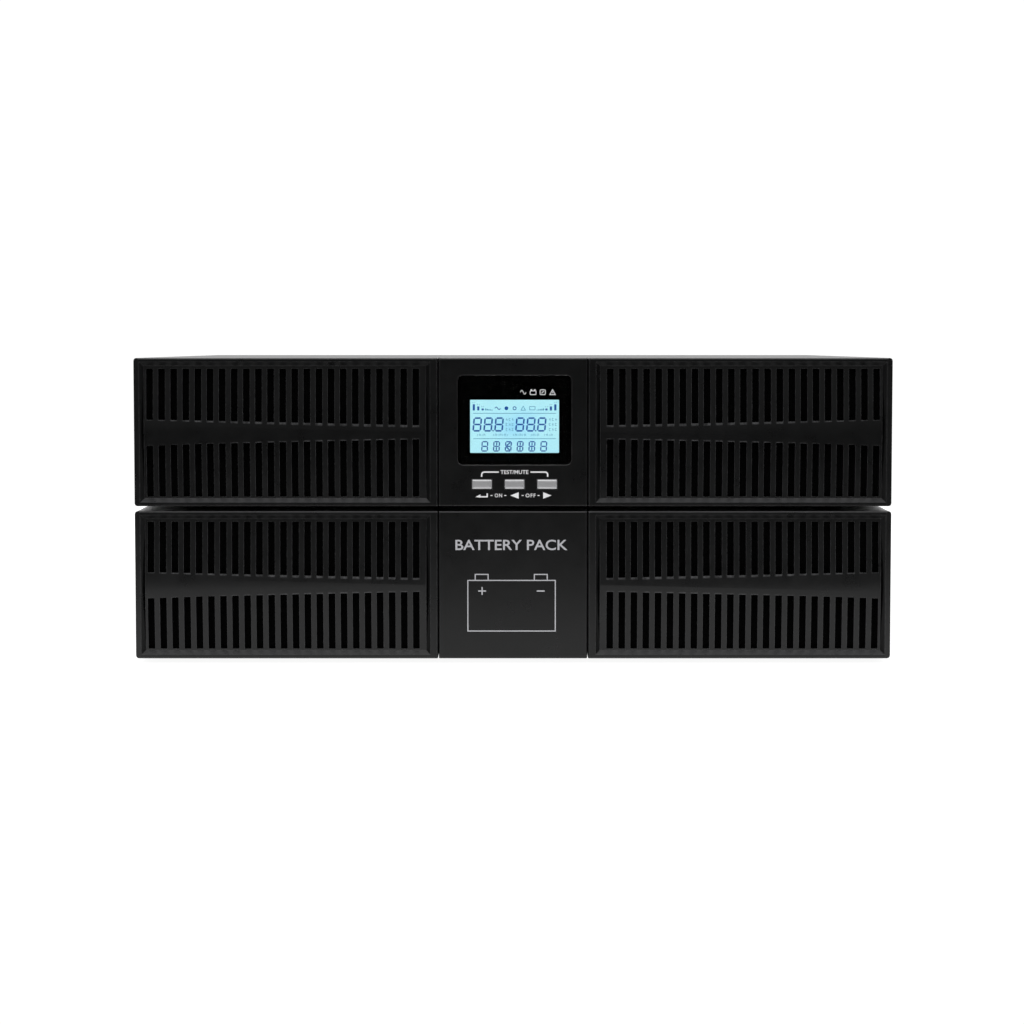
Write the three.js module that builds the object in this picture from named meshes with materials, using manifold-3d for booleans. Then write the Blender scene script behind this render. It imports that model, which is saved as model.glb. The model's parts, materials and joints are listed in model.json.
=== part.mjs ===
// Rackmount UPS: a 2U power module resting on a matching 2U battery pack.
//
// Units are millimetres. +X is to the right seen from the front, +Y runs towards the rear and +Z is up.
// The origin is the middle of the footprint, on the surface that the rubber feet rest on.

import * as THREE from "three";
import { ConvexGeometry } from "three/addons/geometries/ConvexGeometry.js";
import { mergeVertices } from "three/addons/utils/BufferGeometryUtils.js";
import Module from "manifold-3d";

const wasm = await Module();
wasm.setup();

// ---------------------------------------------------------------- driving dimensions

const RACK_UNIT = 44.45;
const MODULE_PITCH = 2 * RACK_UNIT;
const MODULE_HEIGHT = 86;
const FOOT_SPACE = MODULE_PITCH - MODULE_HEIGHT;

const BEZEL_WIDTH = 440;
const BEZEL_DEPTH = 28;
const CHASSIS_WIDTH = 438;
const CHASSIS_DEPTH = 400;
const SHEET = 1.2;
const CLEAR = 0.3; // air between neighbouring pieces
const WELD = 0.5; // how far joined shapes run into each other

const BUTTON_PROUD = 0.8;
const REAR_PROUD = 6;

const FRONT = -(BEZEL_DEPTH + CHASSIS_DEPTH + REAR_PROUD - BUTTON_PROUD) / 2;
const CHASSIS_FRONT = FRONT + BEZEL_DEPTH;
const CHASSIS_BACK = CHASSIS_FRONT + CHASSIS_DEPTH;
const MIDDLE = MODULE_HEIGHT / 2;

// Front bezels
const CENTRE_WIDTH = 86.9; // from the middle of one seam to the middle of the other
const SEAM = 0.5;
const EDGE_ROUND = 0.6;
const CORNER_ROUND = { outer: 1.6, seam: 0.5 };
const END_BEVEL = { run: 3, depth: 1.6 }; // along the outer front edge of each grille
const PANEL_WALL = 2.4;
const RIM_OUTER = 3.4;
const RIM_INNER = 4.7;
const RIM_TOP = 2.2;
const BEVEL_RUN = 2.4;
const RECESS_DEPTH = 3;
const FIELD_BACK = 6.5;
const RIDGE_RISE = 2.2; // how far the ridge at mid-height stands out of the recess floor
const RIDGE_HALF = { inner: 0.5, outer: 4 }; // the ridge's flat crest fans out towards the outer side
const SLOT_COUNT = 23;
const SLOT_PITCH = 7.02;
const SLOT_WIDTH = 3.9;
const FIRST_SLOT = 7.2; // from the bezel's outer edge
const SLOT_MARGIN = { bottom: 5.4, top: 6.2 }; // from the bezel's edges
const BAND_DROP = 0.4; // of the band between the slot rows, below mid-height
const BAND_HALF_INNER = 3.4;
const BAND_FLARE = 4.1;
const PEG = { width: 8, height: 4, reach: 8, margin: 2, inset: 30, play: 1.2 };

// Display in the upper centre panel
const DISPLAY_X = 0.9;
const LENS = { width: 66.3, height: 52.4, bottom: 23.8, depth: 1.8, corner: 3 };
const LCD_VIEW = { width: 51.6, height: 30.8, middle: 46.4 };
const LCD_MODULE = { width: 58, height: 38, depth: 5 };
const FACE_WALL = 2.5;
const BUTTON = { width: 11.5, height: 5.5, pitch: 18.9, z: 12.8, edge: 0.5, flange: 1.2 };
const BUTTON_STEM = { size: 4, length: 3 };
const BOARD = 1.6; // thickness of a circuit board
const BOARD_SETBACK = 14;
const DISPLAY_BOARD = { x: [-39, 39], z: [5, 81], post: 2.8, postX: [-35, 35], postZ: [8, 78] };
const TACT_SWITCH = { size: 6, height: 4.3, plunger: 1.7, reach: 5.6 };

// Sheet metal
const INNER_HALF = CHASSIS_WIDTH / 2 - SHEET - CLEAR;
const INNER_TOP = MODULE_HEIGHT - SHEET - CLEAR;
const SIDE_FLANGE = 20;
const AIR_WINDOWS = [
  [58, 128],
  [136, 206],
];
const AIR_WINDOW_MARGIN = 13;
const CABLE_WINDOW = { half: 24, margin: 14 };
const FOOT_RADIUS = 9;
const FOOT_AT = { x: 190, front: -160, rear: 185 };
const VENT = { count: 7, pitch: 12, width: 5, margin: 18 };

// Rear panel: centre of each fitting as [x, z]
const FAN_SIZE = 80;
const FAN_DEPTH = 25;
const FAN_BORE = 38;
const FAN_HOLE_PITCH = 71.5;
const FAN_MOTOR = 16;
const FAN_SCREW_HOLE = 2.2;
const FAN_X = [172, 88];
const ROTOR = { hub: 15.5, front: -22, back: -3.6, blades: 7, gap: 1.2, skin: 0.8, middle: -12.6 };
const BLADE_ROOT = { radius: 14.5, chord: 20, pitch: 0.85 };
const BLADE_TIP = { chord: 26, pitch: 0.5 };
const GUARD = { rings: [17.5, 26, 34.5], wire: 1.8, depth: 2, badge: 10 };
const SLOT_COVER_AT = [2, 66];
const COMM_AT = [4, 40];
const UPS_DC_AT = [2, 15];
const OUTLET_STRIP_AT = [-120, 64];
const LARGE_OUTLET_AT = [-76, 23];
const INLET_AT = [-132, 23];
const RESET_AT = [-181, 23];
const PACK_DC_AT = [
  [70, 43],
  [6, 43],
];
const PACK_BREAKER_AT = [-70, 43];
const PACK_VENT_X = [150, -150];

// Batteries lie on their side, terminals facing +X, in rows across the pack
const BATTERY = { long: 151, tall: 94, thick: 65, lid: 8, lidStep: 1.5, terminal: 6, tab: [6.3, 0.8] };
const BATTERY_ROWS = { columns: 4, rows: 2, gapX: 4, gapY: 2, shiftX: 3, setback: 12 };
const CLAMP = { width: 52, ridge: 20, length: 420 };

// Power module
const POWER_BOARD = { x: [-206, 206], y: [-150, 150], z: 9 };
const STANDOFF = { radius: 3, x: [-195, 0, 195], y: [-140, 140] };
const HEATSINK = { fins: 9, pitch: 8, fin: 2.4, base: 7, height: 58, length: 150 };
const COIL = { outer: 32, inner: 12, height: 34, chamfer: 4 };
const CAPACITOR = { radius: 17.5, height: 50, x: [-130, -90], y: -100 };

// ---------------------------------------------------------------- materials

const finish = (color, roughness, metalness = 0) =>
  new THREE.MeshStandardMaterial({ color, roughness, metalness });

const MATERIALS = {
  bezel: finish(0x1c1d1e, 0.45),
  steel: finish(0x1a1a1b, 0.55, 0.2),
  rubber: finish(0x101010, 0.9),
  lens: finish(0x030303, 0.08),
  lcd: finish(0x9fdcec, 0.25),
  board: finish(0x1d5a35, 0.5),
  button: finish(0xa9a9ab, 0.35, 0.3),
  socket: finish(0x0d0d0d, 0.4),
  fan: finish(0x141414, 0.5),
  wire: finish(0xb8b8ba, 0.25, 0.9),
  aluminium: finish(0xb5b7b9, 0.4, 0.9),
  battery: finish(0x3a3d40, 0.55),
  copper: finish(0xb0653a, 0.4, 0.6),
  sleeve: finish(0x22304a, 0.4),
  grey: finish(0x8a8c8e, 0.5),
  red: finish(0xb02218, 0.4),
};

// ---------------------------------------------------------------- solids

const X = new THREE.Vector3(1, 0, 0);
const Y = new THREE.Vector3(0, 1, 0);
const Z = new THREE.Vector3(0, 0, 1);

// Places an extrusion drawn in the named plane so that it runs from `at` to `at + depth`.
const PLANES = {
  XY: (at) => new THREE.Matrix4().makeTranslation(0, 0, at),
  XZ: (at, depth) => new THREE.Matrix4().makeBasis(X, Z, Y.clone().negate()).setPosition(0, at + depth, 0),
  YZ: (at) => new THREE.Matrix4().makeBasis(Y, Z, X).setPosition(at, 0, 0),
};

function solid(geometry) {
  const plain = geometry.clone();
  plain.deleteAttribute("normal");
  plain.deleteAttribute("uv");
  const merged = mergeVertices(plain, 1e-4);
  const vertProperties = merged.attributes.position.array;
  const triVerts = new Uint32Array(merged.index.array);
  return new wasm.Manifold(new wasm.Mesh({ numProp: 3, vertProperties, triVerts }));
}

function block([x0, x1], [y0, y1], [z0, z1]) {
  const box = new THREE.BoxGeometry(x1 - x0, y1 - y0, z1 - z0);
  return solid(box.translate((x0 + x1) / 2, (y0 + y1) / 2, (z0 + z1) / 2));
}

function extrude(shapes, plane, at, depth) {
  const geometry = new THREE.ExtrudeGeometry(shapes, { depth, bevelEnabled: false });
  return solid(geometry.applyMatrix4(PLANES[plane](at, depth)));
}

function rodAlongY(radius, [y0, y1], x = 0, z = 0, sides = 16) {
  const rod = new THREE.CylinderGeometry(radius, radius, y1 - y0, sides);
  return solid(rod.translate(x, (y0 + y1) / 2, z));
}

function rodAlongZ(radius, [z0, z1], x = 0, y = 0, sides = 16) {
  const rod = new THREE.CylinderGeometry(radius, radius, z1 - z0, sides);
  return solid(rod.rotateX(Math.PI / 2).translate(x, y, (z0 + z1) / 2));
}

function joined(pieces) {
  return pieces.reduce((sum, piece) => sum.add(piece));
}

function cut(body, pieces) {
  return pieces.reduce((rest, piece) => rest.subtract(piece), body);
}

// ---------------------------------------------------------------- outlines

const around = (middle, size) => [middle - size / 2, middle + size / 2];
const sideways = (side, a, b) => [side * a, side * b].sort((p, q) => p - q);

// The radius is one number, or one for the left corners and one for the right.
function roundedRect([x0, x1], [z0, z1], radii, steps = 2) {
  const [left, right = left] = [radii].flat();
  const corners = [
    [x1 - right, z1 - right, right],
    [x0 + left, z1 - left, left],
    [x0 + left, z0 + left, left],
    [x1 - right, z0 + right, right],
  ];
  return corners.flatMap(([cx, cz, radius], quarter) =>
    Array.from({ length: steps + 1 }, (_, i) => {
      const angle = ((quarter + i / steps) * Math.PI) / 2;
      return new THREE.Vector2(cx + radius * Math.cos(angle), cz + radius * Math.sin(angle));
    }),
  );
}

function rect([x0, x1], [z0, z1]) {
  return [
    new THREE.Vector2(x0, z0),
    new THREE.Vector2(x1, z0),
    new THREE.Vector2(x1, z1),
    new THREE.Vector2(x0, z1),
  ];
}

function circle(x, z, radius, sides) {
  return Array.from({ length: sides }, (_, i) => {
    const angle = (2 * Math.PI * i) / sides;
    return new THREE.Vector2(x + radius * Math.cos(angle), z + radius * Math.sin(angle));
  });
}

// Rectangle with its two upper corners cut off, as on a 10 A appliance coupler.
function couplerOutline(x, width, height, corner) {
  const [x0, x1] = around(x, width);
  const [z0, z1] = around(0, height);
  return [
    new THREE.Vector2(x0, z0),
    new THREE.Vector2(x1, z0),
    new THREE.Vector2(x1, z1 - corner),
    new THREE.Vector2(x1 - corner, z1),
    new THREE.Vector2(x0 + corner, z1),
    new THREE.Vector2(x0, z1 - corner),
  ];
}

// Plate in the XZ plane, between y = at and y = at + depth, with holes straight through it.
function plate(outline, holes, at, depth) {
  const sheet = extrude(new THREE.Shape(outline), "XZ", at, depth);
  const cutters = holes.map((hole) => new THREE.Shape(hole));
  return sheet.subtract(extrude(cutters, "XZ", at - 1, depth + 2));
}

function hullAlongY(...sections) {
  const points = sections.flatMap(({ y, outline }) => outline.map((p) => new THREE.Vector3(p.x, y, p.y)));
  return solid(new ConvexGeometry(points));
}

function mesh(name, shape, material, position = [0, 0, 0]) {
  const { vertProperties, triVerts } = shape.getMesh();
  const geometry = new THREE.BufferGeometry();
  geometry.setAttribute("position", new THREE.BufferAttribute(vertProperties, 3));
  geometry.setIndex(new THREE.BufferAttribute(triVerts, 1));
  geometry.computeVertexNormals();
  const made = new THREE.Mesh(geometry, material);
  made.name = name;
  made.position.set(...position);
  return made;
}

// ---------------------------------------------------------------- front bezels

// Half the height of the band between the slot rows, at a share of the way from its outer to its inner end.
function bandHalf(share) {
  return BAND_HALF_INNER + BAND_FLARE * (1 - share) ** 1.5;
}

const inset = ([a, b], by) => [a + by, b - by];

function bezelBlock(xs) {
  const zs = [0, MODULE_HEIGHT];
  const corners = xs.map((x) => (Math.abs(x) < BEZEL_WIDTH / 2 ? CORNER_ROUND.seam : CORNER_ROUND.outer));
  const full = roundedRect(xs, zs, corners);
  return hullAlongY(
    { y: FRONT, outline: roundedRect(inset(xs, EDGE_ROUND), inset(zs, EDGE_ROUND), corners) },
    { y: FRONT + EDGE_ROUND, outline: full },
    { y: CHASSIS_FRONT - CLEAR, outline: full },
  );
}

// Wedge that takes the outer front edge off a grille.
function endBevel(side) {
  const edge = (side * BEZEL_WIDTH) / 2;
  const wedge = new THREE.Shape([
    new THREE.Vector2(edge - side * END_BEVEL.run, FRONT),
    new THREE.Vector2(edge, FRONT + END_BEVEL.depth),
    new THREE.Vector2(edge + side, FRONT + END_BEVEL.depth),
    new THREE.Vector2(edge + side, FRONT - 1),
    new THREE.Vector2(edge - side * END_BEVEL.run, FRONT - 1),
  ]);
  return extrude(wedge, "XY", -1, MODULE_HEIGHT + 2);
}

// Centres [x, z] of the four pegs that plug a bezel into the chassis front.
function pegPlaces([x0, x1], inset) {
  const low = PEG.margin + PEG.height / 2;
  return [x0 + inset, x1 - inset].flatMap((x) => [
    [x, low],
    [x, MODULE_HEIGHT - low],
  ]);
}

function pegs(places, grown = 0) {
  const ys = [CHASSIS_FRONT - PEG.reach, CHASSIS_FRONT + PEG.reach];
  return places.map(([x, z]) => block(around(x, PEG.width + grown), ys, around(z, PEG.height + grown)));
}

const grilleSpan = (side) => sideways(side, CENTRE_WIDTH / 2 + SEAM / 2, BEZEL_WIDTH / 2);
const CENTRE_SPAN = [-CENTRE_WIDTH / 2 + SEAM / 2, CENTRE_WIDTH / 2 - SEAM / 2];
const CENTRE_PEG_INSET = 12;

function slotOutlines(side) {
  const share = (distance) => (distance - FIRST_SLOT) / ((SLOT_COUNT - 1) * SLOT_PITCH + SLOT_WIDTH);
  return Array.from({ length: SLOT_COUNT }, (_, i) => {
    const near = FIRST_SLOT + i * SLOT_PITCH;
    const far = near + SLOT_WIDTH;
    const [xNear, xFar] = [near, far].map((d) => side * (BEZEL_WIDTH / 2 - d));
    return [
      { up: 1, end: MODULE_HEIGHT - SLOT_MARGIN.top },
      { up: -1, end: SLOT_MARGIN.bottom },
    ].map(({ up, end }) => [
      new THREE.Vector2(xNear, end),
      new THREE.Vector2(xFar, end),
      new THREE.Vector2(xFar, MIDDLE - BAND_DROP + up * bandHalf(share(far))),
      new THREE.Vector2(xNear, MIDDLE - BAND_DROP + up * bandHalf(share(near))),
    ]);
  }).flat();
}

// Very flat wedge that makes the slotted floor bow towards the front at mid-height.
function ridge(side, xs, [z0, z1]) {
  const floor = FRONT + RECESS_DEPTH;
  const points = xs.flatMap((x) => {
    const half = side * x > BEZEL_WIDTH / 4 ? RIDGE_HALF.outer : RIDGE_HALF.inner;
    return [
      new THREE.Vector3(x, floor + 1, z0),
      new THREE.Vector3(x, floor + 1, z1),
      new THREE.Vector3(x, floor, z0),
      new THREE.Vector3(x, floor, z1),
      new THREE.Vector3(x, floor - RIDGE_RISE, MIDDLE - half),
      new THREE.Vector3(x, floor - RIDGE_RISE, MIDDLE + half),
    ];
  });
  return solid(new ConvexGeometry(points));
}

function grillePanel(side) {
  const span = grilleSpan(side);
  const cavity = block(
    [span[0] + PANEL_WALL, span[1] - PANEL_WALL],
    [FRONT + FIELD_BACK, CHASSIS_FRONT + 1],
    [PANEL_WALL, MODULE_HEIGHT - PANEL_WALL],
  );
  const rimFrom = CENTRE_WIDTH / 2 + RIM_INNER;
  const rimTo = BEZEL_WIDTH / 2 - RIM_OUTER;
  const mouth = rect(sideways(side, rimFrom, rimTo), [RIM_TOP, MODULE_HEIGHT - RIM_TOP]);
  const floorX = sideways(side, rimFrom + BEVEL_RUN, rimTo - BEVEL_RUN);
  const floorZ = [RIM_TOP + BEVEL_RUN, MODULE_HEIGHT - RIM_TOP - BEVEL_RUN];
  const recess = hullAlongY(
    { y: FRONT - 1, outline: mouth },
    { y: FRONT, outline: mouth },
    { y: FRONT + RECESS_DEPTH, outline: rect(floorX, floorZ) },
  );
  const slots = slotOutlines(side).map((outline) => new THREE.Shape(outline));
  return bezelBlock(span)
    .subtract(endBevel(side))
    .subtract(cavity)
    .subtract(recess)
    .add(ridge(side, floorX, floorZ))
    .subtract(extrude(slots, "XZ", FRONT + 1, FIELD_BACK))
    .add(joined(pegs(pegPlaces(span, PEG.inset))));
}

function centreShell() {
  const cavity = block(
    [CENTRE_SPAN[0] + PANEL_WALL, CENTRE_SPAN[1] - PANEL_WALL],
    [FRONT + FACE_WALL, CHASSIS_FRONT + 1],
    [PANEL_WALL, MODULE_HEIGHT - PANEL_WALL],
  );
  return bezelBlock(CENTRE_SPAN).subtract(cavity).add(joined(pegs(pegPlaces(CENTRE_SPAN, CENTRE_PEG_INSET))));
}

function labelPanel() {
  const ribs = [-14, 14].map((x) =>
    block(around(x, 2), [FRONT + FACE_WALL - WELD, FRONT + FACE_WALL + 5], [1, MODULE_HEIGHT - 1]),
  );
  return centreShell().add(joined(ribs));
}

// ---------------------------------------------------------------- display module

const BUTTON_X = [-1, 0, 1].map((i) => DISPLAY_X + i * BUTTON.pitch);
function displayHousing() {
  const seatOutline = roundedRect(
    around(DISPLAY_X, LENS.width),
    [LENS.bottom, LENS.bottom + LENS.height],
    LENS.corner,
  );
  const lensSeat = hullAlongY(
    { y: FRONT - 1, outline: seatOutline },
    { y: FRONT + LENS.depth, outline: seatOutline },
  );
  const view = block(
    around(DISPLAY_X, LCD_VIEW.width + 2),
    [FRONT - 1, FRONT + FACE_WALL + 1],
    around(LCD_VIEW.middle, LCD_VIEW.height + 2),
  );
  const buttonHoles = BUTTON_X.map((x) =>
    block(
      around(x, BUTTON.width + 2 * CLEAR),
      [FRONT - 1, FRONT + FACE_WALL + 1],
      around(BUTTON.z, BUTTON.height + 2 * CLEAR),
    ),
  );
  const postYs = [FRONT + FACE_WALL - WELD, FRONT + BOARD_SETBACK - CLEAR];
  const posts = DISPLAY_BOARD.postX.flatMap((x) =>
    DISPLAY_BOARD.postZ.map((z) => rodAlongY(DISPLAY_BOARD.post, postYs, x, z, 10)),
  );
  return cut(centreShell(), [lensSeat, view, ...buttonHoles]).add(joined(posts));
}

function displayLens() {
  const xs = around(DISPLAY_X, LENS.width - 2 * CLEAR);
  const zs = [LENS.bottom + CLEAR, LENS.bottom + LENS.height - CLEAR];
  const outline = roundedRect(xs, zs, LENS.corner - CLEAR);
  return hullAlongY({ y: FRONT + 0.1, outline }, { y: FRONT + LENS.depth - CLEAR, outline });
}

function lcdModule() {
  const y0 = FRONT + FACE_WALL + CLEAR;
  const frame = block(
    around(DISPLAY_X, LCD_MODULE.width),
    [y0, y0 + LCD_MODULE.depth],
    around(LCD_VIEW.middle, LCD_MODULE.height),
  );
  const glass = block(
    around(DISPLAY_X, LCD_VIEW.width + 1),
    [FRONT + LENS.depth + CLEAR, y0 + 1],
    around(LCD_VIEW.middle, LCD_VIEW.height + 1),
  );
  return frame.add(glass);
}

function displayBoard() {
  const front = FRONT + BOARD_SETBACK;
  const card = block(DISPLAY_BOARD.x, [front, front + BOARD], DISPLAY_BOARD.z);
  const { size, height, plunger, reach } = TACT_SWITCH;
  const switches = BUTTON_X.flatMap((x) => [
    block(around(x, size), [front - height, front + WELD], around(BUTTON.z, size)),
    rodAlongY(plunger, [front - reach, front - height + WELD], x, BUTTON.z, 10),
  ]);
  const ribbonSocket = block([-16, 16], [front + WELD, front + 9], [60, 67]);
  const controller = block([-8, 8], [front + WELD, front + 3], [28, 44]);
  const beeper = rodAlongY(6, [front + WELD, front + 9], 27, 34, 16);
  return joined([card, ...switches, ribbonSocket, controller, beeper]);
}

// The cap's face is at y = -BUTTON_PROUD and the panel's face at y = 0, in the button's own frame.
function buttonCap() {
  const xs = around(0, BUTTON.width);
  const zs = around(0, BUTTON.height);
  const { edge } = BUTTON;
  const flangeFront = FACE_WALL + CLEAR;
  const flangeBack = flangeFront + BUTTON.flange;
  const cap = hullAlongY(
    { y: -BUTTON_PROUD, outline: roundedRect(inset(xs, edge), inset(zs, edge), edge, 1) },
    { y: edge - BUTTON_PROUD, outline: roundedRect(xs, zs, edge, 1) },
    { y: flangeFront + WELD, outline: roundedRect(xs, zs, edge, 1) },
  );
  const stop = block(around(0, BUTTON.width + 3), [flangeFront, flangeBack], around(0, BUTTON.height + 2.4));
  const stemSpan = around(0, BUTTON_STEM.size);
  const stem = block(stemSpan, [flangeBack - WELD, flangeBack + BUTTON_STEM.length], stemSpan);
  return joined([cap, stop, stem]);
}

// ---------------------------------------------------------------- chassis sheet metal

function baseTray(standoffs) {
  const floor = block([-INNER_HALF, INNER_HALF], [CHASSIS_FRONT, CHASSIS_BACK], [0, SHEET]);
  const flanges = [-1, 1].map((side) =>
    block(
      sideways(side, INNER_HALF - SHEET, INNER_HALF),
      [CHASSIS_FRONT, CHASSIS_BACK - SHEET - CLEAR],
      [0, SIDE_FLANGE],
    ),
  );
  const windowSpan = [AIR_WINDOW_MARGIN, MODULE_HEIGHT - AIR_WINDOW_MARGIN];
  const airWindows = [-1, 1].flatMap((side) =>
    AIR_WINDOWS.map(([a, b]) => rect(sideways(side, a, b), windowSpan)),
  );
  const { half, margin } = CABLE_WINDOW;
  const cableWindow = rect([-half, half], [margin, MODULE_HEIGHT - margin]);
  const wallOutline = rect([-INNER_HALF, INNER_HALF], [0, INNER_TOP]);
  const wall = plate(wallOutline, [...airWindows, cableWindow], CHASSIS_FRONT, SHEET);
  const pegHoles = [
    ...pegs(pegPlaces(grilleSpan(-1), PEG.inset), PEG.play),
    ...pegs(pegPlaces(grilleSpan(1), PEG.inset), PEG.play),
    ...pegs(pegPlaces(CENTRE_SPAN, CENTRE_PEG_INSET), PEG.play),
  ];
  const posts = standoffs.map(([x, y, top]) => rodAlongZ(STANDOFF.radius, [SHEET - WELD, top], x, y, 8));
  return joined([cut(joined([floor, ...flanges, wall]), pegHoles), ...posts]);
}

function chassisCover() {
  const half = CHASSIS_WIDTH / 2;
  const profile = [
    new THREE.Vector2(-half, CLEAR),
    new THREE.Vector2(-half + SHEET, CLEAR),
    new THREE.Vector2(-half + SHEET, MODULE_HEIGHT - SHEET),
    new THREE.Vector2(half - SHEET, MODULE_HEIGHT - SHEET),
    new THREE.Vector2(half - SHEET, CLEAR),
    new THREE.Vector2(half, CLEAR),
    new THREE.Vector2(half, MODULE_HEIGHT),
    new THREE.Vector2(-half, MODULE_HEIGHT),
  ];
  return extrude(new THREE.Shape(profile), "XZ", CHASSIS_FRONT, CHASSIS_DEPTH);
}

function rearPanel(holes) {
  const outline = rect([-INNER_HALF, INNER_HALF], [SHEET + CLEAR, INNER_TOP]);
  return plate(outline, holes, CHASSIS_BACK - SHEET, SHEET);
}

function cutout([x, z], width, height) {
  return rect(around(x, width + 2 * CLEAR), around(z, height + 2 * CLEAR));
}

function foot(bottom) {
  return rodAlongZ(FOOT_RADIUS, [bottom, FOOT_SPACE - CLEAR]);
}

// ---------------------------------------------------------------- fans

function fanFrame() {
  const corners = around(0, FAN_HOLE_PITCH);
  const holes = corners.flatMap((x) => corners.map((z) => circle(x, z, FAN_SCREW_HOLE, 8)));
  const outline = roundedRect(around(0, FAN_SIZE), around(0, FAN_SIZE), 4);
  const housing = plate(outline, [circle(0, 0, FAN_BORE, 36), ...holes], -FAN_DEPTH, FAN_DEPTH);
  const struts = [0, 1, 2].map((i) => {
    const strut = new THREE.BoxGeometry(FAN_BORE + 2 - FAN_MOTOR, 3, 3);
    strut.translate((FAN_BORE + FAN_MOTOR) / 2, -1.5, 0).rotateY((i * 2 * Math.PI) / 3 + 0.5);
    return solid(strut);
  });
  const motorSeat = rodAlongY(FAN_MOTOR, [-3, 0], 0, 0, 24);
  return housing.add(joined([motorSeat, ...struts]));
}

// Corners of a blade where it crosses a cylinder of the given radius about the shaft.
function bladeSection({ radius, chord, pitch }) {
  return [-chord / 2, chord / 2].flatMap((along) =>
    [-ROTOR.skin, ROTOR.skin].map((skin) => {
      const tangent = along * Math.cos(pitch) - skin * Math.sin(pitch);
      const axial = along * Math.sin(pitch) + skin * Math.cos(pitch);
      return new THREE.Vector3(Math.sqrt(radius ** 2 - tangent ** 2), axial + ROTOR.middle, tangent);
    }),
  );
}

function fanRotor() {
  const hub = rodAlongY(ROTOR.hub, [ROTOR.front, ROTOR.back], 0, 0, 24);
  const tip = { ...BLADE_TIP, radius: FAN_BORE - ROTOR.gap };
  const blade = new ConvexGeometry([...bladeSection(BLADE_ROOT), ...bladeSection(tip)]);
  const blades = Array.from({ length: ROTOR.blades }, (_, i) =>
    solid(blade.clone().rotateY((i * 2 * Math.PI) / ROTOR.blades)),
  );
  return joined([hub, ...blades]);
}

function fanGuard() {
  const { wire, depth } = GUARD;
  const ring = (radius) =>
    plate(circle(0, 0, radius + wire / 2, 20), [circle(0, 0, radius - wire / 2, 20)], CLEAR, depth);
  const spokes = [1, 3].map((i) => {
    const bar = new THREE.BoxGeometry(FAN_HOLE_PITCH * Math.SQRT2 + 5, depth, 2.4);
    return solid(bar.translate(0, CLEAR + depth / 2, 0).rotateY((i * Math.PI) / 4));
  });
  const hub = rodAlongY(GUARD.badge, [CLEAR, CLEAR + depth], 0, 0, 20);
  return joined([...GUARD.rings.map(ring), ...spokes, hub]);
}

// ---------------------------------------------------------------- rear fittings
// Each is drawn with the panel's outer face at y = 0 and +y pointing out of the panel.

const FLANGE = 2.5;
const MOUTH = CLEAR + FLANGE; // outer face of a socket's flange
const STRIP = { pitch: 32.5, count: 4, height: 24, depth: 26, rim: [8, 6] };
const COUPLER = { groove: [29, 20.6, 6.2], core: [22.6, 14.2, 4.6], deep: 16, contact: [2.2, 5] };
const LARGE_COUPLER = { width: 36, height: 28, depth: 28, groove: [32.6, 24.6], core: [26, 18], deep: 18 };
const INLET = { flange: [50, 32], cavity: [30.8, 22.4], deep: 18, pin: [8, 2], pinSetback: 3 };
const DC = { width: 40, height: 20, depth: 32, cavity: 12.4, deep: 20, pitch: 16, rim: [16, 4] };
const RESET = { neck: 6.6, nut: 8.6, bore: 4.6, cap: 4, reach: 5.4 };
const BREAKER = { width: 34, window: 45, height: 80, depth: 66, step: 18, pivot: -5, drum: 8 };
const LEVER = { width: 24, length: 9.6, thick: 5, tilt: Math.PI / 6 };
const COMM = { card: [62, 46], serial: 17, port: -12, portWidth: 12, stop: -27, stopWidth: 11 };
const SLOT_COVER = { width: 84, height: 27, inner: [68, 17], opening: [70, 19] };

function flange(width, height, thick = FLANGE) {
  return block(around(0, width), [CLEAR, CLEAR + thick], around(0, height));
}

function body(width, height, depth) {
  return block(around(0, width), [-depth, CLEAR + WELD], around(0, height));
}

function couplerCut(x) {
  const y0 = MOUTH - COUPLER.deep;
  const depth = COUPLER.deep + 1;
  const core = couplerOutline(x, ...COUPLER.core);
  const groove = plate(couplerOutline(x, ...COUPLER.groove), [core], y0, depth);
  const contacts = [
    [-7, -2],
    [0, 2.5],
    [7, -2],
  ].map(([dx, dz]) => {
    const [width, height] = COUPLER.contact;
    return new THREE.Shape(rect(around(x + dx, width), around(dz, height)));
  });
  return groove.add(extrude(contacts, "XZ", y0, depth));
}

function outletStrip() {
  const width = STRIP.pitch * STRIP.count;
  const places = Array.from({ length: STRIP.count }, (_, i) => (i - (STRIP.count - 1) / 2) * STRIP.pitch);
  const rim = flange(width + STRIP.rim[0], STRIP.height + STRIP.rim[1]);
  return cut(rim.add(body(width, STRIP.height, STRIP.depth)), places.map(couplerCut));
}

function largeOutlet() {
  const { width, height, depth, deep } = LARGE_COUPLER;
  const sized = ([w, h]) => rect(around(0, w), around(0, h));
  const groove = plate(sized(LARGE_COUPLER.groove), [sized(LARGE_COUPLER.core)], MOUTH - deep, deep + 1);
  const contacts = [
    [-6.5, -4],
    [6.5, -4],
    [0, 4],
  ].map(([x, z]) => new THREE.Shape(rect(around(x, 8.4), around(z, 2.4))));
  return flange(width + 6, height + 6)
    .add(body(width, height, depth))
    .subtract(groove)
    .subtract(extrude(contacts, "XZ", MOUTH - deep, deep + 1));
}

function mainsInlet() {
  const floor = MOUTH - INLET.deep;
  const cavity = block(around(0, INLET.cavity[0]), [floor, MOUTH + 1], around(0, INLET.cavity[1]));
  const pins = [
    [-7, -3.6],
    [7, -3.6],
    [0, 4],
  ].map(([x, z]) =>
    block(around(x, INLET.pin[0]), [floor - WELD, MOUTH - INLET.pinSetback], around(z, INLET.pin[1])),
  );
  const shell = body(LARGE_COUPLER.width, LARGE_COUPLER.height, LARGE_COUPLER.depth);
  return flange(...INLET.flange).add(shell).subtract(cavity).add(joined(pins));
}

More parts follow.
